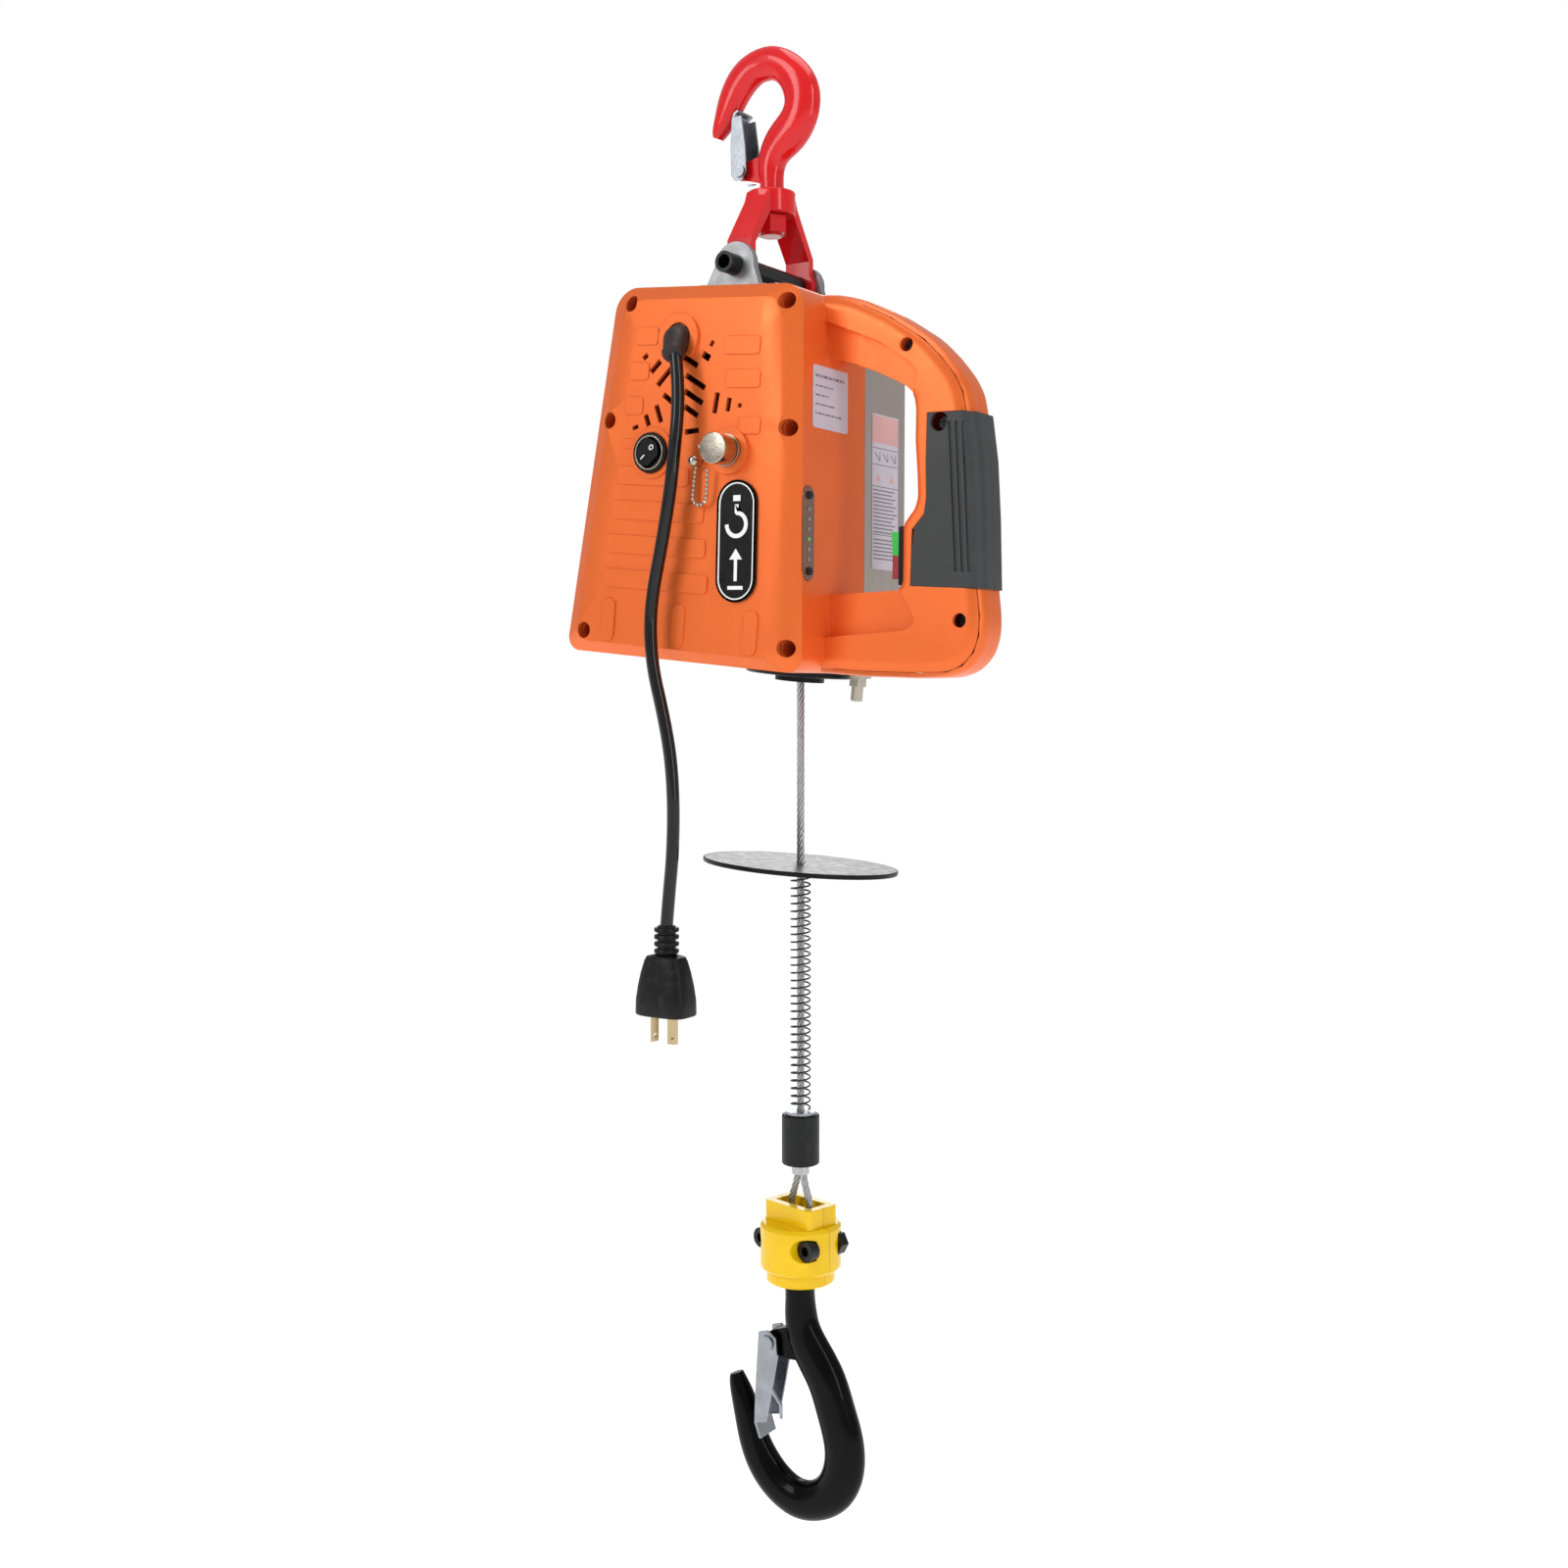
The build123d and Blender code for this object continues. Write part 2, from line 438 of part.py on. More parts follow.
# hand switch in the inner face of the grip
sw = prism(poly([(123.6, -154.8), (131.4, -154.2), (134.0, -188.8), (126.6, -189.4)]), HANDLE_Y - 8, HANDLE_Y + 8)
sw = soft(sw, sw.edges().filter_by(Axis.Y), 0.8)
sw -= prism(ring_face(0), HANDLE_Y - 30, HANDLE_Y + 30)
sw -= prism(poly([(120.0, -157.0), (129.0, -157.4), (131.4, -186.6), (122.0, -187.4)]), HANDLE_Y - 6.2, HANDLE_Y + 6.2)
save("switch_base", body(sw))
SW_P = (127.2, -172.0)
up = prism(poly([(117.8, -158.0), (127.3, -158.5), (128.5, -172.0), (119.9, -172.0)]), HANDLE_Y - 5.9, HANDLE_Y + 5.9)
dn = prism(poly([(119.9, -172.0), (128.5, -172.0), (129.7, -185.3), (121.0, -186.0)]), HANDLE_Y - 5.9, HANDLE_Y + 5.9)
save("button_up", body(up))
save("button_down", body(dn))

# strain relief, rocker, socket with cap and chain, nameplate, labels
gl_axis = Plane(origin=(-18.5, FRONT_Y - 1.0, -48.8), z_dir=(0.32, -0.62, -0.72))
relief = cyl("y", GLAND, 8.2, FRONT_Y - 3.0, FRONT_Y - 0.2) + cyl("y", GLAND, 5.9, FRONT_Y - 0.3, FRONT_Y + 7)
relief += Pos(-18.5, FRONT_Y - 2.5, -48.8) * Sphere(8.0) & bar(-40, 10, FRONT_Y - 14, FRONT_Y - 0.3, -70, -30)
relief += gl_axis * Pos(0, 0, 9.0) * Cone(7.9, 6.2, 18.0) & bar(-40, 10, FRONT_Y - 30, FRONT_Y - 0.3, -80, -30)
for x, y in BOLT_XY:
    cover -= cyl("z", (x, y), 3.0, -40, 0)
cover -= relief
cover = cover.solids().sort_by(SortBy.VOLUME)[-1]
save("front_cover", body(cover))
relief = body(relief)
CORD = [(-18.6, -77.4, -184.2), (-15.2, -79.6, -199.0), (-14.4, -80.4, -219.0), (-17.0, -80.6, -243.0),
        (-20.4, -80.4, -268.5), (-27.0, -80.0, -300.0), (-34.6, -79.5, -330.0), (-36.6, -79.2, -352.0),
        (-34.4, -79.0, -376.0), (-27.0, -78.8, -402.0), (-21.0, -78.6, -430.0), (-19.0, -78.5, -460.0),
        (-20.0, -78.5, -490.0), (-22.8, -78.5, -514.0), (-24.4, -78.5, -531.0)]


def corners(route):
    out = []
    for i in range(1, len(route) - 1):
        a, b, c = (Vector(*route[k]) for k in (i - 1, i, i + 1))
        u, w = (b - a), (c - b)
        turn = math.acos(max(-1, min(1, u.normalized().dot(w.normalized()))))
        out.append(0.45 * min(u.length, w.length) / math.tan(turn / 2))
    return out


radii = corners(CORD)
print("cord radii", [round(r) for r in radii], "min", round(min(radii), 1), "needs", 10 * CORD_R)
path = FilletPolyline(*CORD, radius=radii)
print("cord length", round(path.length, 1))
cord = sweep(Plane(origin=path @ 0, z_dir=path % 0) * Circle(CORD_R), path=path)
relief -= sweep(Plane(origin=path @ 0, z_dir=path % 0) * Circle(CORD_R + 0.02), path=path)
relief = relief.solids().sort_by(SortBy.VOLUME)[-1]
save("strain_relief", relief)
save("power_cord", cord)

bez = cyl("y", ROCK, 12.4, FRONT_Y - 4.2, FRONT_Y) + cyl("y", ROCK, 10.4, FRONT_Y, FRONT_Y + 9)
bez -= Pos(ROCK[0], FRONT_Y, ROCK[1]) * Rot(0, 45, 0) * Box(14.2, 40, 17.2)
save("rocker_bezel", body(bez))
rk = cyl("y", (0, 0), 8.3, -4.0, 2.4) & Pos(0, 0, 0) * Box(13.6, 20, 16.6)
rk = Pos(ROCK[0], FRONT_Y - 2.6, ROCK[1]) * Rot(0, 45, 0) * rk
save("power_rocker", body(rk))
so = cyl("y", SOCK, 8.0, FRONT_Y - 8.6, FRONT_Y + 12) + cyl("y", SOCK, 10.0, FRONT_Y - 5.2, FRONT_Y - 2.7)
so -= cyl("y", SOCK, 6.2, FRONT_Y - 10, FRONT_Y + 6)
for a in range(4):
    so += cyl("y", (SOCK[0] + 3.2 * math.cos(a * math.pi / 2), SOCK[1] + 3.2 * math.sin(a * math.pi / 2)), 0.75, FRONT_Y - 5, FRONT_Y + 7)
save("remote_socket", body(so))
CAP_R = 9.4
cap = cyl("y", SOCK, CAP_R, FRONT_Y - 18.2, FRONT_Y - 5.6)
cap = soft(cap, cap.edges(), 0.7)
cap -= cyl("y", SOCK, 8.4, FRONT_Y - 9.4, FRONT_Y)
cap += cyl("x", (FRONT_Y - 13.5, SOCK[1] + 1.0), 1.6, SOCK[0] - 12.6, SOCK[0] - 9.0)
save("socket_cap", body(cap))
# bead chain from the cap to a stud on the flange
BEAD, BEAD_STEP = 1.25, 2.75
CH_L, CH_R, CH_Z = 3.9, 14.6, -145.2
bend = (CH_R - CH_L) / 2
chain_pts = []
length = (CH_Z + 127.9) * -1 + math.pi * bend + (-129.6 - CH_Z)
count = int(length / BEAD_STEP)
for k in range(count + 1):
    t = length * k / count
    d0 = -CH_Z - 127.9
    if t < d0:
        x, z = CH_L, -127.9 - t
    elif t < d0 + math.pi * bend:
        q = (t - d0) / bend
        x, z = (CH_L + CH_R) / 2 - bend * math.cos(q), CH_Z - bend * math.sin(q)
    else:
        x, z = CH_R, CH_Z + (t - d0 - math.pi * bend)
    chain_pts.append((x, FRONT_Y - 3.4 - 2.6 * k / count, z))
ch = None
for i, p in enumerate(chain_pts):
    b = Pos(*p) * Sphere(BEAD)
    ch = b if ch is None else ch + b
    if i:
        q = chain_pts[i - 1]
        v = Vector(*p) - Vector(*q)
        ch += Plane(origin=tuple((Vector(*p) + Vector(*q)) / 2), z_dir=v) * Cylinder(0.45, v.length)
ch += cyl("y", (3.9, -124.2), 3.2, FRONT_Y - 6.4, FRONT_Y - 0.05) + Pos(3.9, FRONT_Y - 6.0, -124.2) * Sphere(3.6) & bar(-20, 40, -90, FRONT_Y - 0.05, -160, -100)
save("cap_chain", body(ch))
NP = (36.5, -170.8)
npl = Pos(NP[0], FRONT_Y - 0.02, NP[1]) * Rot(90, 0, 0) * Rot(0, 0, 4.0) * extrude(SlotOverall(73.5, 28.5, rotation=90), amount=1.5)
rim = Pos(NP[0], FRONT_Y - 1.5, NP[1]) * Rot(90, 0, 0) * Rot(0, 0, 4.0) * extrude(SlotOverall(73.5, 28.5, rotation=90) - SlotOverall(70.5, 25.5, rotation=90), amount=0.5)
save("name_plate", body(npl + rim))
l1 = on_side(Pos(0, 0, 0.04) * extrude(RectangleRounded(40, 37.5, 2), amount=0.25), -29.3, -80.8)
l2 = on_side(Pos(0, 0, 0.04) * extrude(Rectangle(33, 98), amount=0.25), 37.5, -131.0)

# ---------------------------------------------------------------- steel drum section
gd_out = housing(COVER_Y + 0.2, REAR_Y - 3.1, 0.0)
gd_in = housing(COVER_Y - 1, REAR_Y + 5, 1.6)
guard = gd_out - gd_in
guard -= bar(-200, 200, -200, 200, -300, -236)
for x, y in BOLT_XY:
    guard -= cyl("z", (x, y), 3.0, -40, 0)
save("drum_guard", body(guard))
save("side_labels", [body(l1), body(l2)])
rear = housing(REAR_Y - 3.0, REAR_Y, 0.0)
rear += bar(-84, 78, COVER_Y + 0.2, REAR_Y - 0.5, -246.5, -242.5)
rear -= cyl("y", (DRUM_X, DRUM_Z), 16.0, 40, 80)
rear -= cyl("z", (28.2, ROPE_Y), 9.0, -260, -230)
PLG = (74.5, 24.0)
rear -= cyl("z", PLG, 5.0, -260, -230)
TIES = [(-60, -50), (47, -48), (-66, -200), (62, -200)]
for x, z in TIES:
    rear -= cyl("y", (x, z), 2.5, 50, 80)
save("rear_plate", body(rear))
mid = housing(8.8, 11.9, 3.2)
mid -= cyl("y", (DRUM_X, DRUM_Z), 9.0, 0, 30)
for x, z in TIES:
    mid -= cyl("y", (x, z), 2.5, 0, 30)
for x, z in SCREWS:
    mid -= cyl("y", (x, z), 8.3, 0, 30)
mid = mid.solids().sort_by(SortBy.VOLUME)[-1]
save("mid_plate", body(mid))
ties = []
for x, z in TIES:
    t = cyl("y", (x, z), 5.0, 11.95, 59.95) + cyl("y", (x, z), 2.45, 7.0, 66.0)
    t += hexa("y", (x, z), 8.0, 63.05, 66.5)
    ties.append(body(t))
save("tie_rods", ties)
gd = cyl("z", (28.2, ROPE_Y), 35.5, -251.5, -246.55)
gd = soft(gd, gd.edges().sort_by(Axis.Z)[:1], 2.0)
gd += cyl("z", (28.2, ROPE_Y), 8.8, -246.6, -240.5) + cyl("z", (28.2, ROPE_Y), 16.0, -255.5, -251.4)
gd -= cyl("z", (28.2, ROPE_Y), 5.4, -270, -200)
save("exit_guide", body(gd))
pb = cyl("z", PLG, 8.2, -248.9, -246.55) + hexa("z", PLG, 10.5, -254.6, -248.9) + cyl("z", PLG, 4.9, -246.6, -236)
pb -= cyl("z", PLG, 3.75 + FIT, -270, -200)
save("plunger_bushing", body(pb))
pl = cyl("z", PLG, 3.75, -264.0, -230.0)
pl = soft(pl, pl.edges().sort_by(Axis.Z)[:1], 0.6)
save("limit_plunger", body(pl))

# ---------------------------------------------------------------- drive
D = (DRUM_X, DRUM_Z)
CORE = 34.5
drum = cyl("y", D, CORE, 22, 58) + cyl("y", D, 47, 22, 24) + cyl("y", D, 47, 56, 58)
drum -= cyl("y", D, 30.5, 20, 53)
drum += cyl("y", D, 8.0, 52, 62.5)
save("rope_drum", body(drum))
prof = None
wound = None
for k in range(5):
    y = 33.2 + 5.05 * k
    f = Pos(CORE + 2.6, y) * Circle(2.54)
    prof = f if prof is None else prof + f
prof = prof + Pos(CORE + 1.6, 33.2 + 5.05 * 2) * Rectangle(2.6, 5.05 * 4 + 3.0)
w = revolve(prof, axis=Axis.Y)
w -= cyl("y", (0, 0), CORE + 0.01, 0, 90)
save("rope_wound", body(Pos(D[0], 0, D[1]) * w))
bear = []
for y0, ri, ro in ((58.2, 8.0 + 0.03, 15.95),):
    b = cyl("y", D, ro, y0 + 0.1, y0 + 4.7) - cyl("y", D, ri, 0, 90)
    bear.append(body(b))
save("drum_bearing", bear)
ringg = cyl("y", D, 29.0, 12.0, 45.0) - cyl("y", D, 25.0, 14.5, 60)
ringg -= cyl("y", D, 7.2, 0, 30)
for k in range(RING_TEETH):
    a = 2 * math.pi * k / RING_TEETH
    ringg += Pos(D[0] + 24.6 * math.cos(a), 26, D[1] + 24.6 * math.sin(a)) * Rot(0, -math.degrees(a), 0) * Box(1.4, 16, 1.5)
ringg = ringg.solids().sort_by(SortBy.VOLUME)[-1]
save("ring_gear_housing", body(ringg))
car = cyl("y", D, 20.5, 36.6, 40.6) + cyl("y", D, 7.5, 40.6, 52.0)
for k in range(3):
    a = math.radians(90 + 120 * k)
    car += cyl("y", (D[0] + 15.6 * math.cos(a), D[1] + 15.6 * math.sin(a)), 2.5, 20.0, 36.7)
pls = []
for k in range(3):
    a = math.radians(90 + 120 * k)
    c = (D[0] + 15.6 * math.cos(a), D[1] + 15.6 * math.sin(a))
    g = cyl("y", c, 6.6, 20.5, 36.0)
    for j in range(PLANET_TEETH):
        t = 2 * math.pi * j / PLANET_TEETH
        g += Pos(c[0] + 6.8 * math.cos(t), 28.25, c[1] + 6.8 * math.sin(t)) * Rot(0, -math.degrees(t), 0) * Box(1.5, 15.5, 1.2)
    g -= cyl("y", c, 2.5, 0, 60)
    pls.append(body(g))
save("planet_carrier", [body(car)] + pls)
rot = cyl("y", D, 5.0, -58, 18.8) + cyl("y", D, 26.0, -34, 2) + cyl("y", D, 6.6, 18.8, 34.0) + cyl("y", D, 12.0, -42, -35)
for j in range(SUN_TEETH):
    t = 2 * math.pi * j / SUN_TEETH
    rot += Pos(D[0] + 6.9 * math.cos(t), 26.4, D[1] + 6.9 * math.sin(t)) * Rot(0, -math.degrees(t), 0) * Box(1.2, 15.2, 1.2)
save("motor_rotor", body(rot))
fan = cyl("y", D, 9.0, -57, -46)
for j in range(11):
    t = 2 * math.pi * j / 11
    fan += Pos(D[0] + 21 * math.cos(t), -51, D[1] + 21 * math.sin(t)) * Rot(0, -math.degrees(t), 0) * Rot(28, 0, 0) * Box(27, 1.8, 9)
fan -= cyl("y", D, 5.0, -80, 0)
save("cooling_fan", body(fan))
st = cyl("y", D, 41.0, -42.0, 8.7) - cyl("y", D, 26.6, -36, 6.0) - cyl("y", D, 5.3, -60, 20)
st -= cyl("y", D, 30.0, -45, -34) 
for j in range(12):
    t = 2 * math.pi * j / 12
    st -= Pos(D[0] + 38.8 * math.cos(t), -18, D[1] + 38.8 * math.sin(t)) * Rot(0, -math.degrees(t), 0) * Box(3.4, 30, 9)
save("motor_stator", body(st))
pcb = bar(38, 40, -60, 4, -215, -60)
for y, z, sy, sz, h in ((-40, -80, 16, 22, 12), (-18, -110, 20, 26, 14), (-42, -150, 14, 30, 10), (-16, -170, 22, 18, 12)):
    pcb += bar(40, 40 + h, y - sy / 2, y + sy / 2, z - sz / 2, z + sz / 2)
save("control_board", body(pcb))

# ---------------------------------------------------------------- rope, disc, spring, sleeve
rope = cyl("z", (0, 0), ROPE_R, -700.5, ROPE_TOP)
loop_r = 8.6
for sgn in (-1, 1):
    pth = Polyline((sgn * 2.4, 0, -699.5), (sgn * 3.0, 0, -702.5), (sgn * loop_r, 0, -722.0), (sgn * loop_r, 0, -736.0))
    pth = FilletPolyline((sgn * 2.6, 0, -698.5), (sgn * 2.6, 0, -703.5), (sgn * loop_r, 0, -720.0), (sgn * loop_r, 0, -736.0), radius=[9, 9])
    rope += sweep(Plane(origin=pth @ 0, z_dir=pth % 0) * Circle(ROPE_R), path=pth)
arc = RadiusArc((-loop_r, -736.0), (loop_r, -736.0), loop_r)
tor = Pos(0, 0, -736) * Rot(90, 0, 0) * Torus(loop_r, ROPE_R)
rope += tor & bar(-20, 20, -10, 10, -760, -736)
top_part = load(cyl("z", (0, 0), ROPE_R, -698.0, ROPE_TOP))
rope = Rot(0, 0, BLOCK_TURN) * rope
save("wire_rope", load(rope))
fer = cyl("z", (0, 0), 5.75, -702.0, -696.1) - cyl("z", (0, 0), 2.55, -699, -690)
fer = Rot(0, 0, BLOCK_TURN) * fer - rope
fer = fer.solids().sort_by(SortBy.VOLUME)[-1]
save("rope_ferrule", load(fer))
disc = cyl("z", (0, 0), DISC_R, -DISC_T / 2, DISC_T / 2)
disc = soft(disc, disc.edges(), 0.8) - cyl("z", (0, 0), 3.6, -5, 5)
vd = Plane(origin=(0, 0, 0), x_dir=(0.8387, 0.5446, 0), z_dir=(-0.5446, 0.8387, 0))
disc = Pos(0, 0, DISC_Z) * Rot(Vector(0, 0, 0)) * disc if False else disc.rotate(Axis((0, 0, 0), (-0.5446, 0.8387, 0)), DISC_TILT)
disc = Pos(0, 0, DISC_Z) * disc
save("limit_disc", load(disc))
hx = Helix(pitch=(SPRING_TOP - SPRING_BOT - 2 * SPRING_WIRE) / SPRING_TURNS, height=(SPRING_TOP - SPRING_BOT - 2 * SPRING_WIRE), radius=SPRING_R)
hx = Pos(0, 0, SPRING_BOT + SPRING_WIRE) * hx
spr = sweep(Plane(origin=hx @ 0, z_dir=hx % 0) * Circle(SPRING_WIRE), path=hx)
save("buffer_spring", load(spr))
save("spring_washer", load(cyl("z", (0, 0), 10.0, -663.2, -661.4) - cyl("z", (0, 0), ROPE_R + 0.02, -670, -650)))
slv = cyl("z", (0, 0), SLEEVE_R, SLEEVE_BOT, SLEEVE_TOP)
slv = soft(slv, slv.edges(), 1.4) - cyl("z", (0, 0), ROPE_R + 0.02, -720, -640)
save("rubber_sleeve", load(slv))

# ---------------------------------------------------------------- hook block (two halves bolted together)
bl = revolve(Plane.XZ * make_face(Polyline((0, -771), (21.2, -771), (22.3, -769.8), (22.3, -763.5), (25.0, -762.5), (26.3, -760.8),
                                             (26.3, -735.0), (24.5, -733.0), (0, -733.0), close=True)), axis=Axis.Z)
box = bar(-21, 21, -13, 13, -735, -720.6)
box = soft(box, box.edges().filter_by(Axis.Z), 3.0)
bl += box
bl -= cyl("z", (0, 0), 15.0, -760.0, -740.0)
bl -= bar(-15.6, 15.6, -7.6, 7.6, -745, -715)
bl -= cyl("z", (0, 0), 10.0 + 0.35, -780, -755)
RPZ = -736.0
BU = 20.6
for sgn in (-1, 1):
    bl -= cyl("y", (sgn * BU, -745.2), 4.05, -40, 40)
    bl -= hexa("y", (sgn * BU, -745.2), 13.4, 9.5, 40)
    bl -= cyl("y", (sgn * BU, -745.2), 7.2, -40, -9.5)
half_a = (bl & bar(-60, 60, -60, -0.05, -800, -700)) + cyl("y", (0, RPZ), 4.5, -9, 7.5)
half_b = bl & bar(-60, 60, 0.05, 60, -800, -700)
save("block_half_front", block(half_a))
save("block_half_rear", block(half_b))
bb = []
for sgn in (-1, 1):
    c = (sgn * BU, -745.2)
    b = cyl("y", c, 4.0, -9.5, 16.8) + cyl("y", c, 6.5, -16.6, -9.5)
    b -= hexa("y", c, 6.0, -18, -12.5)
    bb.append(block(b))
bn = []
for sgn in (-1, 1):
    c = (sgn * BU, -745.2)
    bn.append(block(hexa("y", c, 13.0, 9.5, 16.0) - cyl("y", c, 4.0, 0, 40)))
save("block_bolts", bb + bn)

LOW = [(0, -771.5, 10.9, 10.9), (0, -790, 10.4, 10.1), (2.2, -803, 11.6, 10.2), (8.5, -815.5, 13.0, 10.5), (18.8, -831, 13.4, 10.8),
       (27.3, -852, 13.4, 11.0), (33.0, -872, 13.6, 11.2), (32.4, -888, 13.8, 11.2), (25.6, -902, 13.4, 11.0),
       (13.5, -911, 12.6, 10.8), (-1.0, -913.6, 12.4, 10.4), (-15.0, -908.6, 12.2, 10.0), (-26.6, -898.6, 12.0, 9.6),
       (-35.4, -884.5, 10.8, 9.0), (-41.4, -868.0, 9.2, 8.2), (-46.4, -853.5, 7.6, 7.0), (-50.4, -842.0, 4.4, 4.8)]
LOW_RIVET = (-20.3, -814.0)
lh = hook_loft(LOW) + cyl("z", (0, 0), 10.0, -776.0, -752)
lh += prism(poly([(0, -800), (-18, -806), (-26.5, -811), (-25.5, -819), (-19, -821.5), (-6, -823), (8, -822)]), -4.6, 4.6)
lh += cyl("z", (0, 0), 6.0, -753, -748.4)
lh -= cyl("y", LOW_RIVET, 3.0 + FIT, -12, 12)
save("lower_hook", load(lh))
save("lower_hook_nut", load(soft(cyl("z", (0, 0), 13.4, -755.6, -748.6), [], 0) - cyl("z", (0, 0), 10.02, -756, -751.99) - cyl("z", (0, 0), 6.0, -760, -740)))
lr = cyl("y", LOW_RIVET, 3.0, -9.2, 9.2) + cyl("y", LOW_RIVET, 4.8, -10.5, -9.2) + cyl("y", LOW_RIVET, 4.8, 9.2, 10.5)
save("lower_latch_rivet", load(lr))
lp2 = poly([(-27.0, -808.0), (-20.5, -806.0), (-13.5, -810.0), (-12.6, -822.0), (-17.0, -845.0), (-21.5, -866.0), (-30.0, -868.0), (-29.6, -848.0)])
lw2 = poly([(-28.2, -826.0), (-29.6, -848.0), (-30.2, -868.0), (-26.5, -877.5), (-24.9, -877.2), (-28.4, -867.6), (-27.9, -848.0), (-26.6, -826.0)])
ll = prism(lp2, -9.0, -7.4) + prism(lp2, 7.4, 9.0) + prism(lw2, -9.0, 9.0) - cyl("y", LOW_RIVET, 3.0 + FIT, -20, 20)
ll += prism(poly([(-17.2, -842.0), (-9.0, -852.0), (-9.0, -861.0), (-10.5, -861.0), (-10.8, -852.8), (-18.4, -844.0)]), -9.0, -7.4)
save("lower_latch", load(ll))
save("lower_latch_spring", load(torsion(LOW_RIVET, 4.3, 0.5, -6.7, 1.3, 1.15)))

# ---------------------------------------------------------------- plug on the cord
PX, PY = -24.4, -78.5
plug = Pos(PX, PY, -535.0) * Cylinder(7.6, 5.0)
for k in range(4):
    plug += cyl("z", (PX, PY), 7.6, -538.0 - 4.0 * k + 1.6, -538.0 - 4.0 * k + 3.6)
plug = cyl("z", (PX, PY), 5.6, -552.0, -531.2)
for k in range(4):
    plug += cyl("z", (PX, PY), 7.6, -535.2 - 4.3 * k, -532.4 - 4.3 * k)
pbody = extrude(Pos(PX, PY, -551.0) * RectangleRounded(27, 17, 6), amount=0.01)
sec0 = Pos(PX - 0.5, PY, -549.5) * RectangleRounded(26, 18, 6)
sec1 = Pos(PX - 0.5, PY, -560.0) * RectangleRounded(32, 21, 7)
sec2 = Pos(PX - 0.5, PY, -576.0) * RectangleRounded(37, 24, 8)
sec3 = Pos(PX - 0.5, PY, -586.0) * RectangleRounded(37, 24, 8)
plug += loft([sec0, sec1, sec2]) + loft([sec2, sec3], ruled=True)
plug -= cyl("z", (PX, PY), CORD_R + 0.02, -533, -520)
prongs = []
for sgn in (-1, 1):
    prongs.append(Pos(PX - 0.5 + sgn * 6.35, PY - 3.0, -593.0) * Box(1.5, 6.3, 17.8) - cyl("x", (PY - 3.0, -598.0), 1.5, -60, 60))
prongs.append(cyl("z", (PX - 0.5, PY + 8.4), 2.4, -605.0, -586.0))
for p in prongs:
    plug -= p
plug = plug.solids().sort_by(SortBy.VOLUME)[-1]
save("plug_body", plug)
save("plug_prongs", prongs)
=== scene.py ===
import bpy, bmesh, math
from mathutils import Matrix, Vector


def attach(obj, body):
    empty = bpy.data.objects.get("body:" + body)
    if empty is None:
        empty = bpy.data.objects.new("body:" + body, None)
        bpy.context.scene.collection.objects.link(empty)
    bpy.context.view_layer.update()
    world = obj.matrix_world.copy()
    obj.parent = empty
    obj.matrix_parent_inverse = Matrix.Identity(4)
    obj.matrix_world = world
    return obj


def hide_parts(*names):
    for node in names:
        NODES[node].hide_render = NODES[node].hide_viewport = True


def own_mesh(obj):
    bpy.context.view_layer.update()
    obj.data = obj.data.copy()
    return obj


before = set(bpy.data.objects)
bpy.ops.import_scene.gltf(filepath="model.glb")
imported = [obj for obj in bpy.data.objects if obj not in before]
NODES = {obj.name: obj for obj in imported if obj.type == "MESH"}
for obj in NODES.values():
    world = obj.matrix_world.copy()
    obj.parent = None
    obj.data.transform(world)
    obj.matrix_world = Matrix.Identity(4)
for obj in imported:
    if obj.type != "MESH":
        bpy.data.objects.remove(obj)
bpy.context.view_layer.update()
COL = bpy.context.scene.collection

# ------------------------------------------------------------------ frames (millimetres in, metres out)
BODY = Matrix.Translation((0, 0, -0.1255)) @ Matrix.Rotation(math.radians(5.5), 4, "Y")
BLOCK = Matrix.Translation((0.0044, 0.028, 0)) @ Matrix.Rotation(math.radians(-13), 4, "Z")
FRONT = -67.0


def B(x, y, z):
    return BODY @ Vector((x / 1000, y / 1000, z / 1000))


def W(x, y, z):
    return Vector((x / 1000, y / 1000, z / 1000))


def side_x(z):
    return -5.0 + 69.4 + 0.09 * (-16.0 - z)


SIDE_ANG = math.atan(0.09)


def S(y, z, u, v, out):
    """A point on the right-hand wall: u along depth, v up the wall, out of it, from the spot y, z."""
    c, s = math.cos(SIDE_ANG), math.sin(SIDE_ANG)
    return B(side_x(z) + out * c - v * s, y + u, z + out * s + v * c)


# ------------------------------------------------------------------ camera
cam_data = bpy.data.cameras.new("camera")
cam = bpy.data.objects.new("camera", cam_data)
COL.objects.link(cam)
cam.location = (0.6195, -0.9391, -0.3858)
cam.rotation_euler = Vector((-0.5446, 0.8387, 0)).to_track_quat("-Z", "Y").to_euler()
cam_data.sensor_width = 36
cam_data.lens = 40.5
cam_data.shift_y = -0.0625
cam_data.clip_start = 0.01
bpy.context.scene.camera = cam
bpy.context.scene.view_settings.view_transform = "Standard"


# ------------------------------------------------------------------ materials
def lin(r, g, b):
    def f(v):
        v /= 255
        return v / 12.92 if v <= 0.04045 else ((v + 0.055) / 1.055) ** 2.4
    return (f(r), f(g), f(b), 1)


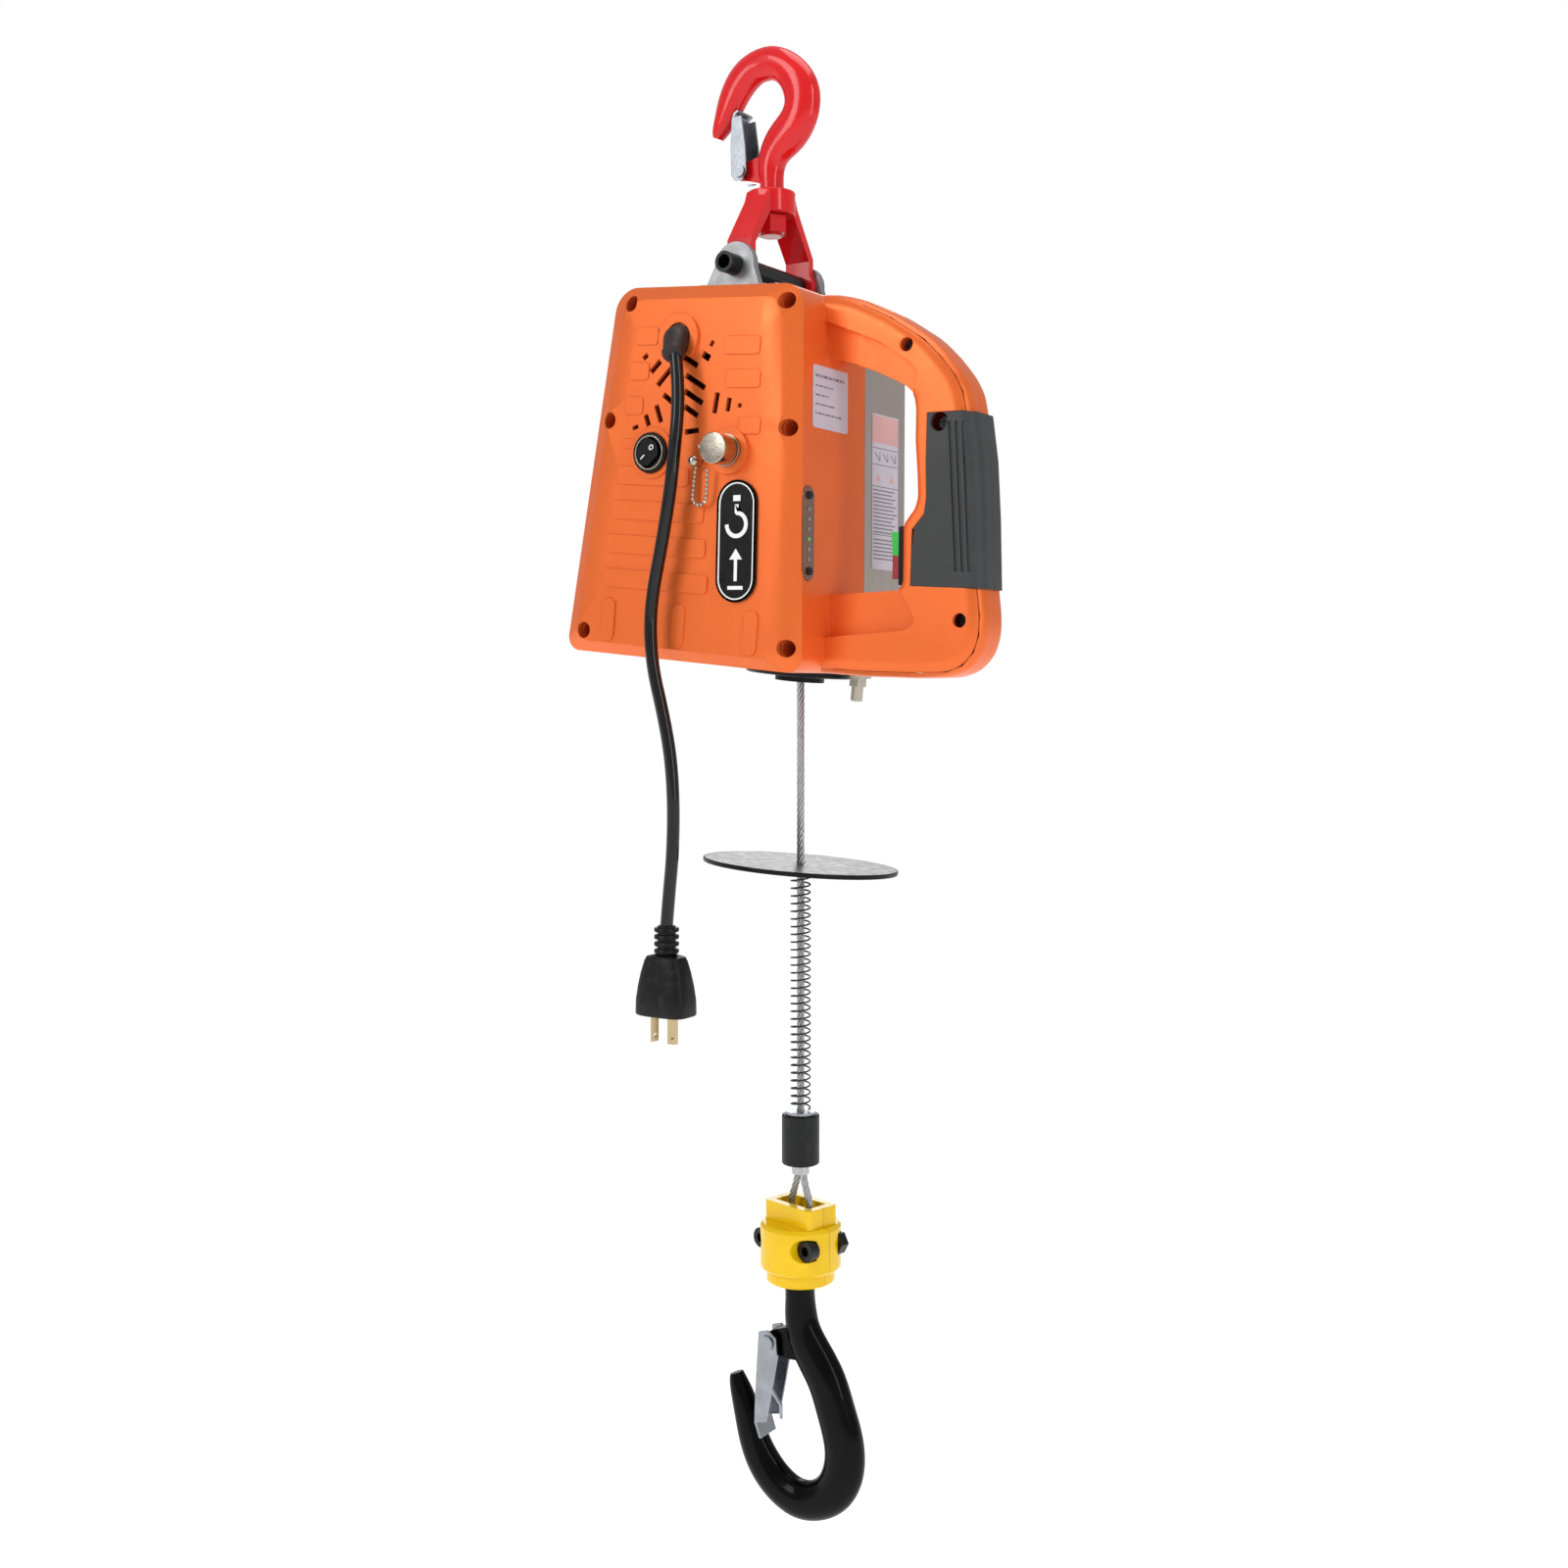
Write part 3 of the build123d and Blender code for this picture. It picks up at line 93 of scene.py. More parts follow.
def surface(name, rgb, vary=0.08, rough=(0.3, 0.42), metal=0.0, grain=900.0, bump=0.05, mottle=40.0, wear=0.0,
            wear_rgb=None, coat=0.0, coat_rough=0.1, spec=0.5, edge=0.0, stretch=None, dust=0.0):
    """Layered finish: broad colour drift, fine grain for the bump, broken-up roughness, worn edges and rounded corners."""
    m = bpy.data.materials.new(name)
    m.use_nodes = True
    nt = m.node_tree
    nd, lk = nt.nodes, nt.links
    bs = nd["Principled BSDF"]
    tc = nd.new("ShaderNodeTexCoord")
    mp = nd.new("ShaderNodeMapping")
    if stretch:
        mp.inputs["Scale"].default_value = stretch
    lk.new(tc.outputs["Object"], mp.inputs["Vector"])
    n1 = nd.new("ShaderNodeTexNoise")
    n1.inputs["Scale"].default_value = mottle
    n1.inputs["Detail"].default_value = 4
    lk.new(tc.outputs["Object"], n1.inputs["Vector"])
    ramp = nd.new("ShaderNodeValToRGB")
    c = lin(*rgb)
    ramp.color_ramp.elements[0].position = 0.3
    ramp.color_ramp.elements[1].position = 0.7
    ramp.color_ramp.elements[0].color = (*[v * (1 - vary) for v in c[:3]], 1)
    ramp.color_ramp.elements[1].color = (*[min(1, v * (1 + vary) + 0.002) for v in c[:3]], 1)
    lk.new(n1.outputs["Fac"], ramp.inputs["Fac"])
    colour = ramp.outputs["Color"]
    n2 = nd.new("ShaderNodeTexNoise")
    n2.inputs["Scale"].default_value = grain
    n2.inputs["Detail"].default_value = 3
    lk.new(mp.outputs["Vector"], n2.inputs["Vector"])
    n3 = nd.new("ShaderNodeTexNoise")
    n3.inputs["Scale"].default_value = 160.0
    n3.inputs["Detail"].default_value = 6
    lk.new(mp.outputs["Vector"], n3.inputs["Vector"])
    if wear:
        geo = nd.new("ShaderNodeNewGeometry")
        add = nd.new("ShaderNodeMath"); add.operation = "MULTIPLY_ADD"
        add.inputs[1].default_value = 0.16; lk.new(n3.outputs["Fac"], add.inputs[0]); lk.new(geo.outputs["Pointiness"], add.inputs[2])
        wr = nd.new("ShaderNodeValToRGB")
        wr.color_ramp.elements[0].position = 0.66
        wr.color_ramp.elements[1].position = 0.72
        wr.color_ramp.elements[1].color = (wear, wear, wear, 1)
        lk.new(add.outputs[0], wr.inputs["Fac"])
        mx = nd.new("ShaderNodeMix"); mx.data_type = "RGBA"
        lk.new(wr.outputs["Color"], mx.inputs["Factor"])
        lk.new(colour, mx.inputs["A"])
        mx.inputs["B"].default_value = lin(*(wear_rgb or rgb))
        colour = mx.outputs["Result"]
    if dust:
        dr = nd.new("ShaderNodeValToRGB")
        dr.color_ramp.elements[0].position = 0.52
        dr.color_ramp.elements[1].position = 0.75
        dr.color_ramp.elements[1].color = (dust, dust, dust, 1)
        lk.new(n3.outputs["Fac"], dr.inputs["Fac"])
        dx = nd.new("ShaderNodeMix"); dx.data_type = "RGBA"
        lk.new(dr.outputs["Color"], dx.inputs["Factor"])
        lk.new(colour, dx.inputs["A"])
        dx.inputs["B"].default_value = lin(150, 146, 140)
        colour = dx.outputs["Result"]
    lk.new(colour, bs.inputs["Base Color"])
    rr = nd.new("ShaderNodeMapRange")
    rr.inputs["From Min"].default_value = 0.3
    rr.inputs["From Max"].default_value = 0.7
    rr.inputs["To Min"].default_value = rough[0]
    rr.inputs["To Max"].default_value = rough[1]
    lk.new(n3.outputs["Fac"], rr.inputs["Value"])
    lk.new(rr.outputs["Result"], bs.inputs["Roughness"])
    bp = nd.new("ShaderNodeBump")
    bp.inputs["Strength"].default_value = bump
    bp.inputs["Distance"].default_value = 0.0004
    lk.new(n2.outputs["Fac"], bp.inputs["Height"])
    if edge:
        bv = nd.new("ShaderNodeBevel")
        bv.samples = 4
        bv.inputs["Radius"].default_value = edge
        lk.new(bv.outputs["Normal"], bp.inputs["Normal"])
    lk.new(bp.outputs["Normal"], bs.inputs["Normal"])
    bs.inputs["Metallic"].default_value = metal
    bs.inputs["Coat Weight"].default_value = coat
    bs.inputs["Coat Roughness"].default_value = coat_rough
    bs.inputs["Specular IOR Level"].default_value = spec
    return m


M = {}
M["orange"] = surface("orange_nylon", (232, 108, 46), vary=0.04, rough=(0.30, 0.38), metal=0.35, grain=1500, bump=0.08, mottle=18, edge=0.0008, spec=0.32)
M["red"] = surface("red_enamel", (212, 12, 20), vary=0.06, rough=(0.18, 0.26), grain=260, bump=0.04, mottle=60, coat=0.45, coat_rough=0.05, spec=0.25, edge=0.0006, wear=0.04, wear_rgb=(150, 10, 16))
M["zinc"] = surface("zinc_plate", (150, 154, 160), vary=0.10, rough=(0.22, 0.42), metal=1.0, grain=500, bump=0.12, mottle=120, edge=0.0004)
M["cast"] = surface("cast_ear", (156, 158, 160), vary=0.10, rough=(0.34, 0.52), metal=0.85, grain=700, bump=0.25, mottle=120, edge=0.0006)
M["black_steel"] = surface("black_oxide", (22, 22, 24), vary=0.2, rough=(0.26, 0.42), metal=0.4, grain=700, bump=0.12, edge=0.0004, dust=0.05)
M["spring"] = surface("spring_steel", (58, 56, 56), vary=0.15, rough=(0.25, 0.4), metal=0.9, grain=900, bump=0.05)
M["grip"] = surface("grip_rubber", (58, 59, 60), vary=0.06, rough=(0.40, 0.54), grain=1900, bump=0.22, mottle=30, edge=0.0006, spec=0.25, dust=0.03)
M["black_plastic"] = surface("black_plastic", (9, 9, 10), vary=0.15, rough=(0.24, 0.36), grain=1500, bump=0.08, edge=0.0004, spec=0.2)
M["smoke"] = surface("smoked_lens", (128, 82, 58), vary=0.10, rough=(0.08, 0.16), grain=300, bump=0.03, coat=1.0, coat_rough=0.03)
M["green"] = surface("green_button", (28, 190, 58), vary=0.06, rough=(0.28, 0.38), grain=1300, bump=0.06, edge=0.0006)
M["dark_red"] = surface("dark_red_button", (150, 22, 20), vary=0.08, rough=(0.28, 0.38), grain=1300, bump=0.06, edge=0.0006)
M["cord"] = surface("cord_jacket", (4, 4, 5), vary=0.2, rough=(0.24, 0.36), grain=700, bump=0.03, mottle=70, coat=0.7, coat_rough=0.05, spec=0.1)
M["gland"] = surface("gland_rubber", (38, 31, 30), vary=0.15, rough=(0.40, 0.55), grain=1300, bump=0.18, mottle=90, spec=0.35, dust=0.05)
M["plug"] = surface("plug_rubber", (12, 12, 13), vary=0.2, rough=(0.34, 0.50), grain=1100, bump=0.20, mottle=80, spec=0.22, dust=0.04)
M["nickel"] = surface("nickel_plate", (178, 170, 156), vary=0.06, rough=(0.12, 0.24), metal=1.0, grain=600, bump=0.06, mottle=120, edge=0.0004)
M["paper"] = surface("label_film", (192, 188, 200), vary=0.04, rough=(0.28, 0.40), grain=900, bump=0.04, mottle=60)
M["print"] = surface("label_ink", (112, 110, 122), vary=0.12, rough=(0.35, 0.5), grain=900, bump=0.03)
M["print_red"] = surface("label_header_ink", (206, 160, 158), vary=0.08, rough=(0.35, 0.5), grain=900, bump=0.03)
M["white_print"] = surface("white_print", (236, 236, 236), vary=0.03, rough=(0.3, 0.4), grain=900, bump=0.03)
# drum guard and rear plate: satin sheet brushed along its height; the grey is the sheet's own, the warm pink cast in
# the base colour is painted reflection of the orange housing
M["guard"] = surface("guard_sheet", (192, 180, 173), vary=0.05, rough=(0.30, 0.42), metal=1.0, grain=700, bump=0.08, mottle=25, stretch=(1, 1, 0.06), edge=0.0006)
M["machined"] = surface("machined_steel", (150, 150, 154), vary=0.08, rough=(0.22, 0.4), metal=1.0, grain=900, bump=0.08, stretch=(1, 0.05, 1))
M["stator"] = surface("stator_lacquer", (70, 32, 24), vary=0.25, rough=(0.35, 0.55), grain=900, bump=0.2)
M["board"] = surface("circuit_board", (26, 86, 44), vary=0.2, rough=(0.3, 0.45), grain=600, bump=0.1)
M["fan"] = surface("fan_plastic", (120, 20, 22), vary=0.1, rough=(0.35, 0.5), grain=900, bump=0.06)
M["rope"] = surface("galvanised_wire", (178, 178, 180), vary=0.12, rough=(0.26, 0.42), metal=1.0, grain=1800, bump=0.12, mottle=300)
M["disc"] = surface("disc_enamel", (14, 14, 15), vary=0.15, rough=(0.30, 0.42), grain=220, bump=0.05, mottle=25, coat=0.05, coat_rough=0.2, spec=0.14)
M["sleeve"] = surface("sleeve_rubber", (22, 23, 24), vary=0.12, rough=(0.36, 0.50), grain=1100, bump=0.18, mottle=70, spec=0.25, dust=0.05)
M["yellow"] = surface("yellow_enamel", (240, 196, 2), vary=0.05, rough=(0.20, 0.32), grain=320, bump=0.14, mottle=50, coat=0.35, coat_rough=0.08, spec=0.15, edge=0.0008, wear=0.12, wear_rgb=(190, 140, 10))
M["hook_black"] = surface("black_enamel", (2, 2, 2), vary=0.2, rough=(0.18, 0.28), grain=180, bump=0.10, mottle=45, coat=0.14, coat_rough=0.06, spec=0.05, edge=0.0006)
M["brass"] = surface("prong_metal", (198, 178, 140), vary=0.08, rough=(0.2, 0.35), metal=1.0, grain=900, bump=0.08, edge=0.0003)
M["led"] = surface("led_lens", (120, 122, 118), vary=0.05, rough=(0.08, 0.14), grain=500, bump=0.03, coat=1.0, coat_rough=0.04)
M["led_green"] = surface("led_lens_green", (60, 190, 90), vary=0.05, rough=(0.08, 0.14), grain=500, bump=0.03, coat=1.0, coat_rough=0.04)

M["smoke"].node_tree.nodes["Principled BSDF"].inputs["Transmission Weight"].default_value = 0.35

FINISH = {
    "top_hook": "red", "top_hook_nut": "red", "hanger_yoke": "red", "top_latch": "zinc", "top_latch_rivet": "zinc", "top_latch_spring": "spring",
    "suspension_pin": "black_steel", "hanger_bracket": "cast", "top_plate": "black_steel", "bracket_bolts": "zinc",
    "front_cover": "orange", "handle_rear": "orange", "grip_front": "grip", "grip_rear": "grip", "housing_screws": "black_steel",
    "lamp_window": "smoke", "switch_base": "black_plastic", "button_up": "green", "button_down": "dark_red",
    "strain_relief": "gland", "power_cord": "cord", "plug_body": "plug", "plug_prongs": "brass",
    "rocker_bezel": "black_plastic", "power_rocker": "black_plastic", "remote_socket": "nickel", "socket_cap": "nickel", "cap_chain": "nickel",
    "name_plate": "black_plastic", "side_labels": "paper", "drum_guard": "guard", "rear_plate": "guard", "mid_plate": "machined",
    "tie_rods": "machined", "exit_guide": "disc", "plunger_bushing": "nickel", "limit_plunger": "nickel", "rope_drum": "machined",
    "rope_wound": "rope", "drum_bearing": "machined", "ring_gear_housing": "machined", "planet_carrier": "machined", "motor_rotor": "machined",
    "cooling_fan": "fan", "motor_stator": "stator", "control_board": "board", "wire_rope": "rope", "rope_ferrule": "rope",
    "limit_disc": "disc", "buffer_spring": "spring", "spring_washer": "zinc", "rubber_sleeve": "sleeve",
    "block_half_front": "yellow", "block_half_rear": "yellow", "block_bolts": "black_steel",
    "lower_hook": "hook_black", "lower_hook_nut": "machined", "lower_latch": "zinc", "lower_latch_rivet": "zinc", "lower_latch_spring": "spring",
}
for node, key in FINISH.items():
    o = NODES[node]
    o.data.materials.clear()
    o.data.materials.append(M[key])
    for p in o.data.polygons:
        p.use_smooth = True
    weld = o.modifiers.new("weld", "WELD")
    weld.merge_threshold = 0.000002
    split = o.modifiers.new("split", "EDGE_SPLIT")
    split.split_angle = math.radians(32)


# ------------------------------------------------------------------ mesh helpers
def add(name, verts, faces, mat, body, smooth=True, slot=None, replaces=(), angle=None):
    me = bpy.data.meshes.new(name)
    me.from_pydata([tuple(v) for v in verts], [], faces)
    bm = bmesh.new()
    bm.from_mesh(me)
    bmesh.ops.recalc_face_normals(bm, faces=bm.faces)
    bm.to_mesh(me)
    bm.free()
    me.materials.append(M[mat])
    for p in me.polygons:
        p.use_smooth = smooth
    o = bpy.data.objects.new(name, me)
    COL.objects.link(o)
    if angle:
        s = o.modifiers.new("split", "EDGE_SPLIT")
        s.split_angle = math.radians(angle)
    if replaces:
        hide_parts(*replaces)
    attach(o, body)
    return o


def tube(path, r, n=10, closed_ends=True, radii=None, base=0, normal=None):
    """Vertices and faces of a round tube along points, carried without twist."""
    V, F = [], []
    N = len(path)
    up = Vector(normal) if normal else Vector((0.13, 0.21, 0.97))
    for i, p in enumerate(path):
        t = (path[min(i + 1, N - 1)] - path[max(i - 1, 0)]).normalized()
        a = (up - t * up.dot(t))
        a = a.normalized() if a.length > 1e-6 else t.orthogonal().normalized()
        up = a
        b = t.cross(a)
        rr = radii[i] if radii else r
        for k in range(n):
            th = 2 * math.pi * k / n
            V.append(p + (a * math.cos(th) + b * math.sin(th)) * rr)
    for i in range(N - 1):
        for k in range(n):
            q = base + i * n
            F.append((q + k, q + (k + 1) % n, q + n + (k + 1) % n, q + n + k))
    if closed_ends:
        F.append(tuple(base + k for k in range(n))[::-1])
        F.append(tuple(base + (N - 1) * n + k for k in range(n)))
    return V, F


def lathe(profile, origin, axis, n=48, x_dir=None):
    """Closed turned piece: profile of (distance along the axis, radius), first and last on the axis or capped."""
    axis = Vector(axis).normalized()
    a = Vector(x_dir).normalized() if x_dir else axis.orthogonal().normalized()
    b = axis.cross(a)
    V, F = [], []
    for d, r in profile:
        for k in range(n):
            th = 2 * math.pi * k / n
            V.append(Vector(origin) + axis * d + (a * math.cos(th) + b * math.sin(th)) * r)
    for i in range(len(profile) - 1):
        for k in range(n):
            F.append((i * n + k, i * n + (k + 1) % n, (i + 1) * n + (k + 1) % n, (i + 1) * n + k))
    F.append(tuple(range(n))[::-1])
    F.append(tuple((len(profile) - 1) * n + k for k in range(n)))
    return V, F


def merge(parts):
    V, F = [], []
    for v, f in parts:
        k = len(V)
        V += list(v)
        F += [tuple(i + k for i in q) for q in f]
    return V, F


def pad(fn, outline, lo, hi):
    """A thin raised print or plate: outline (u, v) carried by fn(u, v, out) from lo to hi."""
    n = len(outline)
    V = [fn(u, v, lo) for u, v in outline] + [fn(u, v, hi) for u, v in outline]
    F = [tuple(range(n))[::-1], tuple(range(n, 2 * n))]
    F += [(k, (k + 1) % n, n + (k + 1) % n, n + k) for k in range(n)]
    return V, F


def rect(u, v, w, h, r=0.0, seg=3):
    if not r:
        return [(u - w / 2, v - h / 2), (u + w / 2, v - h / 2), (u + w / 2, v + h / 2), (u - w / 2, v + h / 2)]
    out = []
    for cx, cy, a0 in ((w / 2 - r, h / 2 - r, 0), (-w / 2 + r, h / 2 - r, 90), (-w / 2 + r, -h / 2 + r, 180), (w / 2 - r, -h / 2 + r, 270)):
        for k in range(seg + 1):
            a = math.radians(a0 + 90 * k / seg)
            out.append((u + cx + r * math.cos(a), v + cy + r * math.sin(a)))
    return out


def ribbon(pts, w):
    """Outline of a line of width w through the points."""
    L, R = [], []
    for i, p in enumerate(pts):
        a, b = pts[max(i - 1, 0)], pts[min(i + 1, len(pts) - 1)]
        dx, dy = b[0] - a[0], b[1] - a[1]
        m = math.hypot(dx, dy) or 1
        L.append((p[0] - dy / m * w / 2, p[1] + dx / m * w / 2))
        R.append((p[0] + dy / m * w / 2, p[1] - dx / m * w / 2))
    return L + R[::-1]


# ------------------------------------------------------------------ mains cord, its plug and strain relief
CORD = [(-18.6, -77.4, -184.2), (-15.2, -79.6, -199.0), (-14.4, -80.4, -219.0), (-17.0, -80.6, -243.0),
        (-20.4, -80.4, -268.5), (-27.0, -80.0, -300.0), (-34.6, -79.5, -330.0), (-36.6, -79.2, -352.0),
        (-34.4, -79.0, -376.0), (-27.0, -78.8, -402.0), (-21.0, -78.6, -430.0), (-19.0, -78.5, -460.0),
        (-20.0, -78.5, -490.0), (-22.8, -78.5, -514.0), (-24.4, -78.5, -531.0)]
cd = bpy.data.curves.new("mains_cord", "CURVE")
cd.dimensions = "3D"
sp = cd.splines.new("NURBS")
sp.points.add(len(CORD) - 1)
for q, p in zip(sp.points, CORD):
    q.co = (p[0] / 1000, p[1] / 1000, p[2] / 1000, 1)
sp.order_u = 3
sp.use_endpoint_u = True
sp.resolution_u = 12
cd.bevel_depth = 0.004
cd.bevel_resolution = 6
cd.use_fill_caps = True
cord = bpy.data.objects.new("mains_cord", cd)
cd.materials.append(M["cord"])
COL.objects.link(cord)
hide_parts("power_cord")
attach(cord, "hoist")

# strain relief: a rounded boot standing out of its ring, necking down to a lipped collar round the cord
gdir = (BODY.to_3x3() @ Vector((0.32, -0.62, -0.72))).normalized()
g0 = B(-18.5, FRONT - 2.5, -48.8)
prof = [(-2.0, 5.0), (-1.0, 7.4), (0.5, 7.9), (3, 8.0), (6, 7.8), (9, 7.3), (12, 6.7), (14.5, 6.1), (15.2, 6.15), (15.8, 6.6), (16.6, 6.75), (17.4, 6.5), (17.8, 6.0), (17.8, 4.05)]
rel = lathe([(d / 1000, r / 1000) for d, r in prof], g0, gdir, 56)
flange = lathe([(-0.0055, 0.0059), (-0.0001, 0.0059), (0, 0.0076), (0.0004, 0.0081), (0.002, 0.0082), (0.0026, 0.0079), (0.0029, 0.0070), (0.0029, 0.001)],
               B(-18.5, FRONT - 0.1, -48.8), BODY.to_3x3() @ Vector((0, -1, 0)), 56)
V, F = merge([rel, flange])
boot = add("cord_boot", V, F, "gland", "hoist", slot="cord_rubber", replaces=("strain_relief",), angle=50)


def se_ring(cx, cy, z, hx, hy, e, n=40):
    out = []
    for k in range(n):
        t = 2 * math.pi * k / n
        c, s = math.cos(t), math.sin(t)
        out.append(W(cx + math.copysign(abs(c) ** (2 / e), c) * hx, cy + math.copysign(abs(s) ** (2 / e), s) * hy, z))
    return out


PX, PY = -24.4, -78.5
secs = [(0, 0, -531.1, 3.9, 3.9, 2), (0, 0, -531.3, 5.4, 5.4, 2)]
for k in range(4):
    z = -532.4 - 4.3 * k
    secs += [(0, 0, z - 0.1, 5.6, 5.6, 2), (0, 0, z - 0.15, 7.2, 7.2, 2), (0, 0, z - 0.6, 7.6, 7.6, 2), (0, 0, z - 2.3, 7.6, 7.6, 2), (0, 0, z - 2.7, 7.2, 7.2, 2), (0, 0, z - 2.8, 5.6, 5.6, 2)]
secs += [(-0.1, 0, -548.6, 5.6, 5.6, 2), (-0.3, 0, -549.4, 9.2, 7.2, 2.6), (-0.5, 0, -550.2, 12.0, 8.4, 3), (-0.5, 0, -553, 13.4, 9.2, 3.2), (-0.5, 0, -560, 15.6, 10.3, 3.2),
         (-0.5, 0, -568, 17.2, 11.3, 3.4), (-0.5, 0, -576, 18.3, 11.9, 3.6), (-0.5, 0, -584.6, 18.4, 11.95, 3.8), (-0.5, 0, -585.6, 17.9, 11.5, 3.8), (-0.5, 0, -586, 17.0, 10.6, 3.8)]
V, F = [], []
n = 40
for dx, dy, z, hx, hy, e in secs:
    V += se_ring(PX + dx, PY + dy, z, hx, hy, e, n)
for i in range(len(secs) - 1):
    for k in range(n):
        F.append((i * n + k, i * n + (k + 1) % n, (i + 1) * n + (k + 1) % n, (i + 1) * n + k))
F += [tuple(range(n))[::-1], tuple((len(secs) - 1) * n + k for k in range(n))]
plug = add("plug_moulding", V, F, "plug", "hoist", slot="cord_rubber", replaces=("plug_body",), angle=42)


# ------------------------------------------------------------------ wire rope, laid in strands round a core
def strands(path, pitch, R, r, count=6, n=8, normal=None, phase=0.0):
    N = len(path)
    up = Vector(normal) if normal else Vector((1, 0, 0))
    frames, s = [], 0.0
    for i, p in enumerate(path):
        t = (path[min(i + 1, N - 1)] - path[max(i - 1, 0)]).normalized()
        up = (up - t * up.dot(t)).normalized()
        if i:
            s += (p - path[i - 1]).length
        frames.append((p, up.copy(), t.cross(up), s))
    parts = [tube([f[0] for f in frames], r * 0.95, n)]
    for k in range(count):
        pts = []
        for p, a, b, s in frames:
            th = 2 * math.pi * (k / count + s / pitch) + phase
            pts.append(p + (a * math.cos(th) + b * math.sin(th)) * R)
        parts.append(tube(pts, r, n))
    return parts


rope_top, rope_bot = -248.0, -699.0
cnt = 260
straight = [W(4.4, 28, rope_top + (rope_bot - rope_top) * i / cnt) for i in range(cnt + 1)]
parts = strands(straight, 0.026, 0.00164, 0.00085)
for sgn in (-1, 1):
    key = [(2.6, -697.0), (2.7, -703.0), (3.6, -707.5), (5.6, -713.0), (7.6, -718.0), (8.6, -723.0), (8.6, -736.0)]
    leg = []
    for (xa, za), (xb, zb) in zip(key, key[1:]):
        for j in range(6):
            t = j / 6
            leg.append(BLOCK @ W(sgn * (xa + (xb - xa) * t), 0, za + (zb - za) * t))
    for j in range(9):
        t = math.pi / 2 * j / 8
        leg.append(BLOCK @ W(sgn * 8.6 * math.cos(t), 0, -736 - 8.6 * math.sin(t)))
    parts += strands(leg, 0.026, 0.00158, 0.00082, normal=(0, 1, 0), phase=0.4 * sgn)
V, F = merge(parts)
rope = add("rope_strands", V, F, "rope", "load", slot="rope_wire", replaces=("wire_rope",), angle=60)

# ------------------------------------------------------------------ buffer spring
turns, z1, z0 = 31, -504.6 - 0.6, -660.6 + 0.6
pts = []
for i in range(turns * 24 + 1):
    t = i / (turns * 24)
    a = 2 * math.pi * turns * t
    pts.append(W(4.4 + 6.2 * math.cos(a), 28 + 6.2 * math.sin(a), z0 + (z1 - z0) * t))
V, F = tube(pts, 0.0006, 8)
spring = add("buffer_coil", V, F, "spring", "load", slot="spring_steel", replaces=("buffer_spring",))
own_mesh(spring)


# ------------------------------------------------------------------ prints, legends and small trim
def face_fn(cx, cz, ang=0.0, y=FRONT):
    ca, sa = math.cos(math.radians(ang)), math.sin(math.radians(ang))
    return lambda u, v, out: B(cx + u * ca - v * sa, y - out, cz + u * sa + v * ca)


# nameplate: white rim and a hook pictogram in place of words
NPF = face_fn(36.5, -170.8, 4.0)


def pill(w, h, n=14):
    r = w / 2
    out = []
    for k in range(n + 1):
        a = math.pi * k / n
        out.append((r * math.cos(a), h / 2 - r + r * math.sin(a)))
    for k in range(n + 1):
        a = math.pi + math.pi * k / n
        out.append((r * math.cos(a), -h / 2 + r + r * math.sin(a)))
    return out


outer, inner = pill(28.3, 73.3), pill(23.9, 68.9)
k = len(outer)
V = [NPF(u, v, o) for ring, o in ((outer, 1.4), (outer, 2.0), (inner, 2.0), (inner, 1.4)) for u, v in ring]
F = []
for a in range(4):
    b = (a + 1) % 4
    for i in range(k):
        F.append((a * k + i, a * k + (i + 1) % k, b * k + (i + 1) % k, b * k + i))
add("name_plate_rim", V, F, "white_print", "hoist", slot="label", angle=30)
hook2d = [(0, 10), (0, 5)] + [(7 * math.cos(math.radians(a)), -2 + 7 * math.sin(math.radians(a))) for a in range(90, -181, -15)]
icons = [pad(NPF, ribbon([(u, v + 12) for u, v in hook2d], 2.6), 1.52, 1.75)]
icons.append(pad(NPF, [(-2.6, 24), (2.6, 24), (2.6, 27.5), (-2.6, 27.5)], 1.52, 1.75))
icons.append(pad(NPF, [(-1.1, -24), (1.1, -24), (1.1, -11), (4.6, -11), (0, -4.5), (-4.6, -11), (-1.1, -11)], 1.52, 1.75))
icons.append(pad(NPF, rect(0, -28, 11, 2.2), 1.52, 1.75))
V, F = merge(icons)
add("name_plate_pictogram", V, F, "white_print", "hoist", smooth=False, slot="label")

# rating label on the side wall and instruction label on the guard: generic ruled lines
bits = []
for row, (v, w) in enumerate([(12.5, 33), (6.5, 20), (1.0, 15), (-4.5, 22), (-10.0, 30)]):
    u0 = -17.5
    x = u0
    j = 0
    while x < u0 + w:
        seg = [4.2, 2.6, 5.4, 3.4, 2.0][(j + row) % 5]
        seg = min(seg, u0 + w - x)
        bits.append(pad(lambda a, b, o: S(-29.3, -80.8, a, b, o), rect(x + seg / 2, v, seg, 1.5 if row == 0 else 1.0), 0.28, 0.34))
        x += seg + 1.0
        j += 1
V, F = merge(bits)
add("rating_label_lines", V, F, "print", "hoist", smooth=False, slot="label")
GL = lambda a, b, o: S(37.5, -131.0, a, b, o)
bits = [pad(GL, rect(0, 27.6, 32, 0.5), 0.28, 0.34), pad(GL, rect(0, 17.2, 32, 0.5), 0.28, 0.34), pad(GL, rect(0, 3.4, 32, 0.5), 0.28, 0.34), pad(GL, rect(0, -27, 32, 0.5), 0.28, 0.34)]
for r0, (v, w) in enumerate([(v / 10, 24 + (v % 7)) for v in range(130, -440, -24)]):
    if abs(v - 3.4) < 1.2 or abs(v + 27) < 1.2 or 5.4 < v < 13.6:
        continue
    bits.append(pad(GL, rect(-15 + w / 2, v, w, 0.8), 0.28, 0.34))
